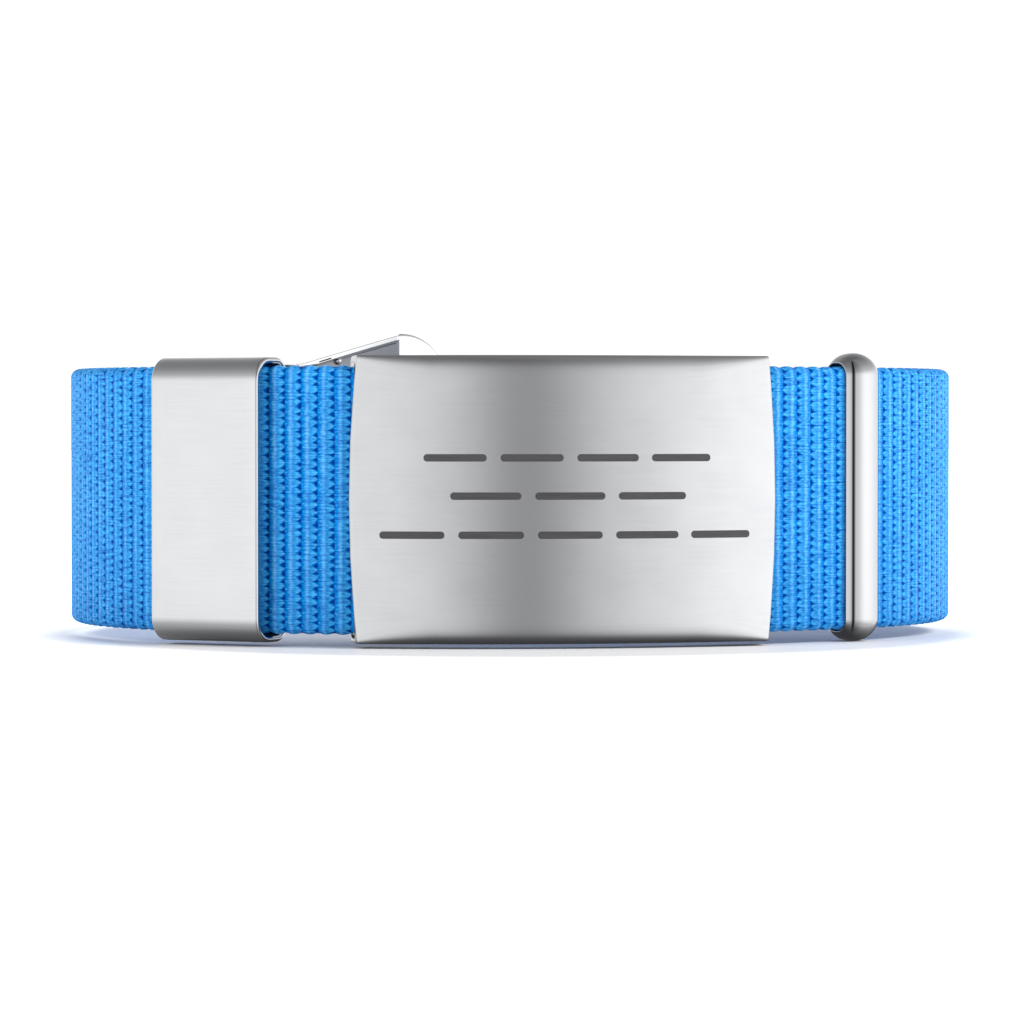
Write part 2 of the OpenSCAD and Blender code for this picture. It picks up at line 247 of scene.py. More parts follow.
def loft(name: str, rings: np.ndarray, closed: bool, sharp_deg: float = 40.0) -> bpy.types.Object:
    """Skins closed rings of points, and closes the two ends unless the loft is a closed one.

    Args:
        name: name of the piece.
        rings: rings, points and coordinates, in millimetres.
        closed: whether the last ring joins the first.
        sharp_deg: angle over which an edge stays sharp.

    Returns:
        The new object, with a map of its lengths in millimetres.
    """
    count, points = rings.shape[:2]
    faces = grid_faces(count, points, closed)
    steps = np.linalg.norm(np.diff(rings, axis=0, append=rings[:1]), axis=2).mean(axis=1)
    around = np.linalg.norm(np.diff(rings, axis=1, append=rings[:, :1]), axis=2).mean(axis=0)
    way = np.concatenate([[0], np.cumsum(steps)])
    height = np.concatenate([[0], np.cumsum(around)])
    ring, point = np.divmod(np.arange(len(faces)), points)
    uv = np.stack([
        np.stack([way[ring], height[point]], axis=1),
        np.stack([way[ring + 1], height[point]], axis=1),
        np.stack([way[ring + 1], height[point + 1]], axis=1),
        np.stack([way[ring], height[point + 1]], axis=1),
    ], axis=1).reshape(-1, 2)
    polygons = faces.tolist()
    if not closed:
        ends = [list(range(points)), list(range((count - 1) * points, count * points))]
        polygons += ends
        cap = rings[[0, -1]].reshape(-1, 3)
        uv = np.concatenate([uv, cap[:, [0, 2]]])
    return new_piece(name, rings.reshape(-1, 3), polygons, sharp_deg, uv)


def softened_copy(node: str, width: float, name: str, weld: float = 0.002,
                  flat_deg: float = 0.4, sharp_deg: float = 30.0,
                  round_deg: float = 35.0) -> bpy.types.Object:
    """Copies a solid of the frame as clean polygons with its edges rounded.

    Args:
        node: the frame's node.
        width: width of the rounding, in millimetres.
        name: name of the piece.
        weld: distance under which points become one, in millimetres.
        flat_deg: angle under which faces become one.
        sharp_deg: angle over which an edge stays sharp.
        round_deg: angle over which an edge is rounded.

    Returns:
        The new object.
    """
    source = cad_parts[node].data
    work = bmesh.new()
    vertices = [work.verts.new(v.co) for v in source.vertices]
    for polygon in source.polygons:
        try:
            work.faces.new([vertices[i] for i in polygon.vertices])
        except ValueError:
            LOG.debug("%s: doubled face left out", node)
    bmesh.ops.remove_doubles(work, verts=work.verts, dist=weld * MM)
    bmesh.ops.dissolve_limit(work, angle_limit=math.radians(flat_deg), verts=work.verts,
                             edges=work.edges)
    bmesh.ops.recalc_face_normals(work, faces=work.faces)
    mesh = bpy.data.meshes.new(name)
    work.to_mesh(mesh)
    work.free()
    mesh.shade_smooth()
    mesh.set_sharp_from_angle(angle=math.radians(sharp_deg))
    piece = add_object(name, mesh)
    bevel = piece.modifiers.new("rounding", "BEVEL")
    bevel.width = width * MM
    bevel.segments = 3
    bevel.limit_method = "ANGLE"
    bevel.angle_limit = math.radians(round_deg)
    bevel.harden_normals = True
    return piece


@dataclass(frozen=True)
class Loop:
    """Path of the webbing: its middle line is an oval of two flat arcs and two side bends."""

    outer_w: float
    outer_d: float
    thick: float = 1.6
    side_bend: float = 0.87

    @cached_property
    def half_w(self) -> float:
        """Half width of the middle line."""
        return (self.outer_w - self.thick) / 2

    @cached_property
    def half_d(self) -> float:
        """Half depth of the middle line."""
        return (self.outer_d - self.thick) / 2

    @cached_property
    def side_r(self) -> float:
        """Radius of the side bends."""
        return self.side_bend * self.half_d

    @cached_property
    def flat_r(self) -> float:
        """Radius of the front and back arcs."""
        w, d, r = self.half_w, self.half_d, self.side_r
        return (w * w + d * d - 2 * w * r) / (2 * (d - r))

    @cached_property
    def split(self) -> float:
        """Turn at which a flat arc meets a side bend, in radians."""
        return math.atan((self.half_w - self.side_r) / (self.flat_r - self.half_d))

    @cached_property
    def flat_len(self) -> float:
        """Length of half a flat arc."""
        return self.flat_r * self.split

    @cached_property
    def side_len(self) -> float:
        """Length of half a side bend."""
        return self.side_r * (math.pi / 2 - self.split)

    @cached_property
    def length(self) -> float:
        """Length of the whole middle line."""
        return 4 * (self.flat_len + self.side_len)

    def turn(self, way: np.ndarray | float) -> np.ndarray:
        """Finds the turn of the webbing's outward side.

        Args:
            way: distance from the front's middle towards +X, along the middle line.

        Returns:
            Turn in radians, 0 where the webbing faces -Y.
        """
        run = np.abs(way)
        bend_end = self.flat_len + 2 * self.side_len
        turn = np.where(run < self.flat_len, run / self.flat_r,
                        np.where(run < bend_end, self.split + (run - self.flat_len) / self.side_r,
                                 math.pi - self.split + (run - bend_end) / self.flat_r))
        return np.sign(way) * turn

    def point(self, way: np.ndarray | float, out: np.ndarray | float) -> np.ndarray:
        """Finds points beside the middle line.

        Args:
            way: distance from the front's middle, along the middle line.
            out: distance outwards from the middle line.

        Returns:
            X and Y in the last axis.
        """
        turn = self.turn(way)
        side = (np.abs(turn) > self.split) & (np.abs(turn) < math.pi - self.split)
        radius = np.where(side, self.side_r, self.flat_r) + out
        middle_x = np.where(side, np.sign(turn) * (self.half_w - self.side_r), 0)
        front = np.where(np.abs(turn) <= self.split, 1, -1)
        middle_y = np.where(side, 0, (self.flat_r - self.half_d) * front)
        return np.stack(np.broadcast_arrays(middle_x + radius * np.sin(turn),
                                            middle_y - radius * np.cos(turn)), axis=-1)

    def axes(self, at: float, skew: float = 0.0) -> tuple[np.ndarray, np.ndarray, np.ndarray]:
        """Finds where a slider stands on the webbing.

        Args:
            at: distance from the front's middle, along the middle line.
            skew: how far it stands askew, in degrees.

        Returns:
            X and Y of its middle, of its way along the webbing and of its way outwards.
        """
        turn = float(self.turn(at)) - math.radians(skew)
        way = np.array([math.cos(turn), math.sin(turn)])
        return self.point(at, 0.0), way, np.array([math.sin(turn), -math.cos(turn)])


def new_material(name: str) -> tuple[bpy.types.Material, NodeMaker, bpy.types.Node]:
    """Starts an empty node material with a Principled shader.

    Args:
        name: name of the material.

    Returns:
        The material, the function that adds nodes to its tree, and its shader node.
    """
    material = bpy.data.materials.new(name)
    material.use_nodes = True
    material.node_tree.nodes.clear()
    node = partial(add_node, material.node_tree)
    shader = node("BsdfPrincipled")
    node("OutputMaterial", (shader,))
    return material, node, shader


def link_surface(shader: bpy.types.Node, colour: bpy.types.Node, rough: bpy.types.Node,
                 height: bpy.types.Node, relief_mm: float) -> None:
    """Links a Principled shader to its colour, its roughness and its relief.

    Args:
        shader: the shader.
        colour: Mix node of the base colour.
        rough: node of the roughness.
        height: node of the relief, as a share of its depth.
        relief_mm: depth of the relief.
    """
    tree = shader.id_data
    bump = add_node(tree, "Bump", {"Height": height, "Distance": relief_mm * MM})
    tree.links.new(colour.outputs[2], shader.inputs["Base Color"])
    tree.links.new(rough.outputs[0], shader.inputs["Roughness"])
    tree.links.new(bump.outputs[0], shader.inputs["Normal"])


@dataclass(frozen=True)
class WovenNylon:
    """Nylon webbing, warp-faced, woven on a narrow loom and dyed.

    Its warp yarns float over each weft rib and dive between the ribs, every second groove half a
    yarn higher, so the eye reads rib crests, a toothed seam along each groove and small pits
    between the teeth. The crests and the tips of the teeth get painted highlights; the seam and the
    pits get painted shade. The filaments give it a soft sheen.
    """

    name: str = "nylon webbing, woven and dyed blue"
    # yarn and yarn_low are the dyed yarns; crest and tooth are painted highlight colours; pit is
    # painted shade, and yarn_low is also the painted shade on bent loops
    yarn: str = "#0089DC"
    yarn_low: str = "#0060B6"
    crest: str = "#86D0F6"
    tooth: str = "#66C8F4"
    pit: str = "#02328C"
    sheen: str = "#8CC8FF"
    # Half length of a pit and of a tooth along the webbing, in ribs, and a pit's height as a
    # share of a tooth's
    pit_reach: float = 0.12
    tooth_reach: float = 0.2
    pit_height: float = 0.55
    tooth_round: float = 0.85
    # Distance from the seam, in ribs, where its painted dark line of shade starts to fade and where
    # it ends, and how dark that painted shade is
    seam_line: tuple[float, float] = (0.015, 0.075)
    seam_shade: float = 0.3
    # The loom's unevenness moves ribs and yarns by up to half of these, in ribs and in yarns
    rib_drift: float = 0.16
    yarn_drift: float = 0.8
    relief_mm: float = 0.18
    # Nylon filaments are 0.03 mm thick, too fine to show, so they are drawn 0.12 mm apart
    filament_mm: float = 0.12
    filament_ribs: float = 0.45
    roughness: float = 0.5
    ior: float = 1.53
    gloss: float = 0.06

    def weave(self, node: NodeMaker, uv: bpy.types.Node, ribs: int) -> tuple[bpy.types.Node, ...]:
        """Lays out the rib crests, the toothed seam along each groove and the pits.

        Args:
            node: function that adds a node.
            uv: map that counts ribs along the webbing and yarns across it.
            ribs: number of ribs round the loop; the plate's middle is at half of them.

        Returns:
            Height of the rib, distance past the groove's middle, distance past the seam, both
            away from the plate and in ribs, and the painted shade of the seam and the pits.
        """
        place = node("SeparateXYZ", (uv,))
        wander = node("TexNoise", {"Vector": uv, "Scale": 0.9, "Detail": 2.0})
        shift = node("VectorMath", (wander.outputs["Color"], (0.5, 0.5, 0.5)),
                     operation="SUBTRACT")
        drift = node("SeparateXYZ", (shift,))
        along = node("Math", (drift.outputs[0], self.rib_drift, place.outputs[0]),
                     operation="MULTIPLY_ADD")
        rib = node("Math", (along,), operation="FLOOR")
        odd = node("Math", (rib, 2.0), operation="MODULO")
        angle = node("Math", (along, 2 * math.pi), operation="MULTIPLY")
        wave = node("Math", (angle,), operation="COSINE")
        crest = node("Math", (wave, 0.5, 0.5), operation="MULTIPLY_ADD")
        # The teeth of both halves of the loop point towards the plate's middle
        half = node("Math", (place.outputs[0], ribs / 2), operation="GREATER_THAN")
        side = node("Math", (half, 2.0, -1.0), operation="MULTIPLY_ADD")
        within = node("Math", (along, rib), operation="SUBTRACT")
        centred = node("Math", (within, 0.5), operation="SUBTRACT")
        away = node("Math", (centred, side), operation="MULTIPLY")
        # Half of each yarn is one side of a tooth, and every second rib stands half a yarn higher
        brick = node("Math", (odd, 0.5, place.outputs[1]), operation="MULTIPLY_ADD")
        yarn = node("Math", (drift.outputs[1], self.yarn_drift, brick), operation="MULTIPLY_ADD")
        fold = node("Math", (yarn, 0.5), operation="PINGPONG")
        notch = node("Math", (fold, 2.0), operation="MULTIPLY")
        bulge = node("Math", (notch, self.tooth_round), operation="POWER")
        seam = node("Math", (bulge, -2 * self.tooth_reach, self.tooth_reach),
                    operation="MULTIPLY_ADD")
        past_seam = node("Math", (away, seam), operation="SUBTRACT")
        on_seam = node("Math", (past_seam,), operation="ABSOLUTE")
        line = node("MapRange", (on_seam, *self.seam_line, self.seam_shade, 0.0),
                    interpolation_type="SMOOTHSTEP")
        # A pit of painted shade is a wedge that opens towards the plate and ends in front of the
        # seam
        room = node("Math", (away, -self.pit_height / (2 * self.pit_reach), self.pit_height / 2),
                    operation="MULTIPLY_ADD")
        inside = node("Math", (room, notch), operation="SUBTRACT")
        wedge = node("MapRange", (inside, -0.12, 0.1, 0.0, 1.0), interpolation_type="SMOOTHSTEP")
        back = node("MapRange", (away, -1.5 * self.pit_reach, -0.7 * self.pit_reach, 0.0, 1.0),
                    interpolation_type="SMOOTHSTEP")
        pit = node("Math", (wedge, back), operation="MULTIPLY")
        return crest, away, past_seam, node("Math", (pit, line), operation="MAXIMUM")

    def dye(self, node: NodeMaker, uv: bpy.types.Node, filament: bpy.types.Node,
            woven: tuple[bpy.types.Node, ...]) -> bpy.types.Node:
        """Colours the weave in layers, from the yarns through painted highlights and shade up to
        the painted shade of the pits.

        Args:
            node: function that adds a node.
            uv: map of ribs and yarns.
            filament: noise of the filaments.
            woven: what weave gives.

        Returns:
            Mix node of the colour.
        """
        crest, away, past_seam, dark = woven
        patch = node("TexNoise", {"Vector": uv, "Scale": 0.16, "Detail": 3.0, "Roughness": 0.6})
        loops = node("TexNoise", {"Vector": uv, "Scale": 4.2, "Detail": 2.0})
        # Filaments streak the yarns, and the crests get a painted highlight that is patchy from
        # place to place
        streak = node("MapRange", (filament, 0.38, 0.62, 0.0, 1.0))
        bright = node("Math", (filament, 1.5, -0.3), operation="MULTIPLY_ADD")
        ridge = node("Math", (crest, 6.0), operation="POWER")
        highlight_patches = node("MapRange", (patch, 0.35, 0.65, 0.55, 1.0))
        shine = node("Math", (ridge, bright), operation="MULTIPLY")
        pale = node("Math", (shine, highlight_patches), operation="MULTIPLY")
        # Painted shade and painted glints on loops of yarn here and there, as if bent away from the
        # light or standing up to it
        bent = node("MapRange", (loops, 0.47, 0.34, 0.0, 0.45))
        loop_glint = node("MapRange", (loops, 0.55, 0.7, 0.0, 0.45))
        # Painted highlight on the tips of the teeth, less and less away from the groove
        lit = node("MapRange", (past_seam, 0.02, 0.12, 0.0, 1.0), interpolation_type="SMOOTHSTEP")
        fade = node("MapRange", (away, 0.1, 0.42, 0.7, 0.0), interpolation_type="SMOOTHSTEP")
        tip = node("Math", (lit, fade), operation="MULTIPLY")
        tip_shine = node("Math", (tip, bright), operation="MULTIPLY")
        under: Colour | bpy.types.NodeSocket = linear(self.yarn_low)
        # Layers: yarn streaks, painted crest highlight, painted shade and glints on loops, painted
        # highlight on the tooth tips, painted shade of the pits and the seam
        for share, cover in ((streak, self.yarn), (pale, self.crest), (bent, self.yarn_low),
                             (loop_glint, self.tooth), (tip_shine, self.tooth), (dark, self.pit)):
            layer = node("Mix", {0: share, 6: under, 7: linear(cover)}, data_type="RGBA")
            under = layer.outputs[2]
        return layer

    def build(self, yarn_mm: float, ribs: int) -> bpy.types.Material:
        """Makes the material for a map that counts ribs along the webbing and yarns across it.

        Args:
            yarn_mm: real distance between two yarns.
            ribs: number of ribs round the loop; the plate's middle is at half of them.

        Returns:
            The material.
        """
        material, node, shader = new_material(self.name)
        uv = node("UVMap", uv_map=SPAN_MAP)
        woven = self.weave(node, uv, ribs)
        strands = node("Mapping", {
            0: uv, 3: (self.filament_ribs, yarn_mm / self.filament_mm, 1.0)})
        filament = node("TexNoise", {
            "Vector": strands, "Scale": 1.0, "Detail": 3.0, "Roughness": 0.6})
        crest, dark = woven[0], woven[-1]
        # The relief: round ribs, sunk pits and the fuzz of the filaments
        round_rib = node("Math", (crest, 0.7), operation="POWER")
        fuzz = node("Math", (filament, 0.16), operation="MULTIPLY")
        sunk = node("Math", (dark, -0.4, fuzz), operation="MULTIPLY_ADD")
        height = node("Math", (round_rib, 0.18, sunk), operation="MULTIPLY_ADD")
        rough = node("Math", (filament, -0.16, self.roughness + 0.08), operation="MULTIPLY_ADD")
        colour = self.dye(node, uv, filament, woven)
        link_surface(shader, colour, rough, height, self.relief_mm)
        shader.inputs["IOR"].default_value = self.ior
        shader.inputs["Specular IOR Level"].default_value = self.gloss
        shader.inputs["Specular Tint"].default_value = linear(self.sheen)
        return material


@dataclass(frozen=True)
class Steel:
    """Stainless steel, rolled or drawn and then rubbed or buffed.

    The fine parallel lines of the rubbing widen highlights across them, faint smears change the
    gloss from place to place, and the colour stays a neutral grey.
    """

    name: str
    colour: str
    smeared: str
    roughness: float
    spread: float
    # Rubbing lines are 0.02 to 0.05 mm apart; line_mm is as coarse as it needs to be to show
    line_mm: float
    line_len_mm: float
    line_depth_mm: float
    grain: Grain = Grain.ALONG_SPAN
    smears_per_mm: float = 0.22
    # How much of the spread in gloss comes from the lines and how much from the smears
    line_share: float = 1.2
    smear_share: float = 0.8

    def build(self) -> bpy.types.Material:
        """Makes the material.

        Returns:
            The material.
        """
        material, node, shader = new_material(self.name)
        if self.grain is Grain.ALONG_SPAN:
            place, per_mm = node("UVMap", uv_map=SPAN_MAP).outputs[0], 1.0
        else:
            place, per_mm = node("TexCoord").outputs["Object"], 1 / MM
        across = per_mm / self.line_mm
        lines = node("Mapping", {0: place, 3: (per_mm / self.line_len_mm, across, across)})
        rub = node("TexNoise", {"Vector": lines, "Scale": 1.0, "Detail": 4.0, "Roughness": 0.65})
        smear = node("TexNoise", {"Vector": place, "Scale": self.smears_per_mm * per_mm,
                                  "Detail": 3.0, "Roughness": 0.55})
        both = node("Math", (rub, smear), operation="MULTIPLY")
        colour = node("Mix", {0: both, 6: linear(self.colour), 7: linear(self.smeared)},
                      data_type="RGBA")
        fine = node("Math", (rub, self.line_share * self.spread, self.roughness - self.spread),
                    operation="MULTIPLY_ADD")
        rough = node("Math", (smear, self.smear_share * self.spread, fine),
                     operation="MULTIPLY_ADD")
        link_surface(shader, colour, rough, rub, self.line_depth_mm)
        shader.inputs["Metallic"].default_value = 1.0
        return material


@dataclass(frozen=True)
class BurntMark:
    """Oxide mark burnt into steel with a laser: matt, nearly black, slightly uneven."""

    name: str = "laser-burnt oxide on steel"
    dark: str = "#3C3B39"
    pale: str = "#57565A"
    # The laser's passes are 0.05 mm apart and are drawn 0.1 mm apart so that they show
    pass_mm: float = 0.1
    pass_len_mm: float = 2.5
    relief_mm: float = 0.01
    metallic: float = 0.4

    def build(self) -> bpy.types.Material:
        """Makes the material.

        Returns:
            The material.
        """
        material, node, shader = new_material(self.name)
        along, across = (1 / (length * MM) for length in (self.pass_len_mm, self.pass_mm))
        passes = node("Mapping", {0: node("TexCoord").outputs["Object"],
                                  3: (along, along, across)})
        grain = node("TexNoise", {"Vector": passes, "Scale": 1.0, "Detail": 3.0})
        colour = node("Mix", {0: grain, 6: linear(self.dark), 7: linear(self.pale)},
                      data_type="RGBA")
        rough = node("Math", (grain, 0.2, 0.45), operation="MULTIPLY_ADD")
        link_surface(shader, colour, rough, grain, self.relief_mm)
        shader.inputs["Metallic"].default_value = self.metallic
        return material


# Rubbed with fine abrasive along its length: grey, and highlights spread wide across it
PLATE_STEEL = Steel("stainless steel plate, satin rubbed", "#CCCDCF", "#B4B5B8",
                    roughness=0.32, spread=0.06,
                    line_mm=0.12, line_len_mm=6.0, line_depth_mm=0.001)
# The same rubbing on thin sheet before it was bent: a little brighter and glossier
SLEEVE_STEEL = Steel("stainless steel sheet, satin rubbed", "#D0D1D3", "#BEBFC2",
                     roughness=0.2, spread=0.05,
                     line_mm=0.12, line_len_mm=5.0, line_depth_mm=0.0006)
# Left as the press made it: short rubs and a soft, uneven gloss
CHANNEL_STEEL = Steel("stainless steel sheet, satin pressed", "#CFD0D2", "#B4B5B8",
                      roughness=0.24, spread=0.07, grain=Grain.ALONG_OBJECT,
                      line_mm=0.14, line_len_mm=3.0, line_depth_mm=0.0015)
# Buffed after pressing: nearly a mirror, with blurred edges to what it reflects
CLASP_STEEL = Steel("stainless steel sheet, pressed and buffed", "#DCDDDF", "#CDCED0",
                    roughness=0.07, spread=0.03,
                    line_mm=0.12, line_len_mm=4.0, line_depth_mm=0.0003)
# Never buffed, so the lever's inside stays dull; its grey, darker than the rim, is painted shade
SHADED_INNER_STEEL = Steel("stainless steel sheet, dull inside with painted shade", "#9A9B9E", "#8C8D90",
                    roughness=0.28, spread=0.05,
                    line_mm=0.12, line_len_mm=4.0, line_depth_mm=0.0004)
# Tumbled with ceramic chips: the cut edges end up rounder and brighter than the faces
EDGE_STEEL = Steel("stainless steel sheet, edge tumbled bright", "#CBCCCE", "#B6B7BA",
                   roughness=0.07, spread=0.02,
                   line_mm=0.12, line_len_mm=3.0, line_depth_mm=0.0003)
# Buffed on a wheel to a mirror: crisp dark and light lines follow its crown
RING_STEEL = Steel("stainless steel, mirror buffed", "#BFC0C2", "#B6B7BA",
                   roughness=0.035, spread=0.01,
                   line_mm=0.1, line_len_mm=2.0, line_depth_mm=0.0001)
# Drawn through a die and peened over: dull grey with fine, short streaks
PIN_STEEL = Steel("steel wire, drawn and peened", "#B9BABD", "#98999C",
                  roughness=0.3, spread=0.08, grain=Grain.ALONG_OBJECT,
                  line_mm=0.08, line_len_mm=1.0, line_depth_mm=0.001)


def finish_piece(piece: bpy.types.Object, material: bpy.types.Material, body: Body) -> None:
    """Dresses a piece and lets it ride on its body.

    Args:
        piece: the piece, in its place.
        material: its material.
        body: body of the frame that it moves with.
    """
    piece.data.materials.clear()
    piece.data.materials.append(material)
    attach(piece, body.value)
    LOG.info("%s: %d faces, rides on %s", piece.name, len(piece.data.polygons), body.value)


@dataclass
class Webbing:
    """Closed loop of nylon webbing, woven with cross ribs."""

    loop: Loop
    low: float
    width: float
    ribs: int = 152
    yarns: int = 33
    # Points of the mesh for each rib and each yarn, and places of an edge's points in yarns
    per_rib: int = 6
    per_yarn: int = 2
    edge_yarns: tuple[float, ...] = (0.04, 0.25, 0.6)
    groove: float = 0.055
    pit: float = 0.07
    pit_share: float = 0.7
    scallop: float = 0.12
    scallop_reach: float = 1.2
    edge_round: float = 0.62
    finish: WovenNylon = WovenNylon()

    def relief(self, rib: np.ndarray, yarn: np.ndarray) -> np.ndarray:
        """Finds how far the weave lies under its rib crests.

        Args:
            rib: place along the webbing, counted in ribs, a crest at each whole number.
            yarn: place across it, counted in yarns.

        Returns:
            Depth in millimetres.
        """
        low = 0.5 - 0.5 * np.cos(2 * np.pi * rib)
        odd = np.floor(rib) % 2
        tip = 2 * np.abs((yarn + 0.5 * odd + 0.5) % 1 - 0.5)
        pits = np.clip(1 - tip / self.pit_share, 0, 1)
        return self.groove * low + self.pit * low ** 2 * pits

    def section(self) -> tuple[np.ndarray, np.ndarray, np.ndarray]:
        """Lays out the webbing's section: up its outer face and down its inner face.

        Returns:
            Height over the floor, side (1 outer, -1 inner) and place in yarns of each point.
        """
        step = self.width / self.yarns
        edge = step * np.array(self.edge_yarns)
        rows = np.arange(self.per_yarn, (self.yarns - 1) * self.per_yarn + 1)
        outer = rows * step / self.per_yarn
        inner = np.arange(1, self.yarns) * step
        up = np.concatenate([edge, outer, self.width - edge[::-1]])
        down = np.concatenate([self.width - edge, inner[::-1], edge[::-1]])
        height = np.concatenate([up, down])
        side = np.concatenate([np.ones(len(up)), -np.ones(len(down))])
        return height, side, np.where(side > 0, height / step, 2 * self.yarns - height / step)

    def build(self) -> None:
        """Weaves the webbing as one closed sweep and dresses it."""
        height, side, yarn = self.section()
        stations = self.ribs * self.per_rib
        rib = np.arange(stations)[:, None] / self.per_rib
        from_edge = np.minimum(height, self.width - height)
        curve = np.sqrt(np.clip(1 - (1 - from_edge / self.edge_round) ** 2, 0, 1))
        shape = np.where(from_edge < self.edge_round, curve, 1.0)[None, :]
        half = shape * (self.loop.thick / 2 - self.relief(rib, yarn[None, :]))
        way = (rib / self.ribs - 0.5) * self.loop.length
        plan = self.loop.point(way, side[None, :] * half)
        crest = 0.5 + 0.5 * np.cos(2 * np.pi * rib)
        near = np.clip(1 - from_edge / self.scallop_reach, 0, 1)[None, :]
        pull = near * self.scallop * (1 - crest)
        level = self.low + height[None, :] + np.where(height < self.width / 2, 1, -1) * pull
        points = np.concatenate([plan, level[..., None]], axis=-1).reshape(-1, 3)
        faces = grid_faces(stations, len(height), True)
        ring, point = np.divmod(np.arange(len(faces)), len(height))
        across = np.append(yarn, 2.0 * self.yarns + yarn[0])
        corners = [(ring, point), (ring + 1, point), (ring + 1, point + 1), (ring, point + 1)]
        uv = np.stack([np.stack([r / self.per_rib, across[p]], axis=1) for r, p in corners], axis=1)
        piece = new_piece("webbing_loop", points, faces, 180.0, uv.reshape(-1, 2))
        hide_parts("webbing_strap")
        finish_piece(piece, self.finish.build(self.width / self.yarns, self.ribs),
                     Body.BRACELET)


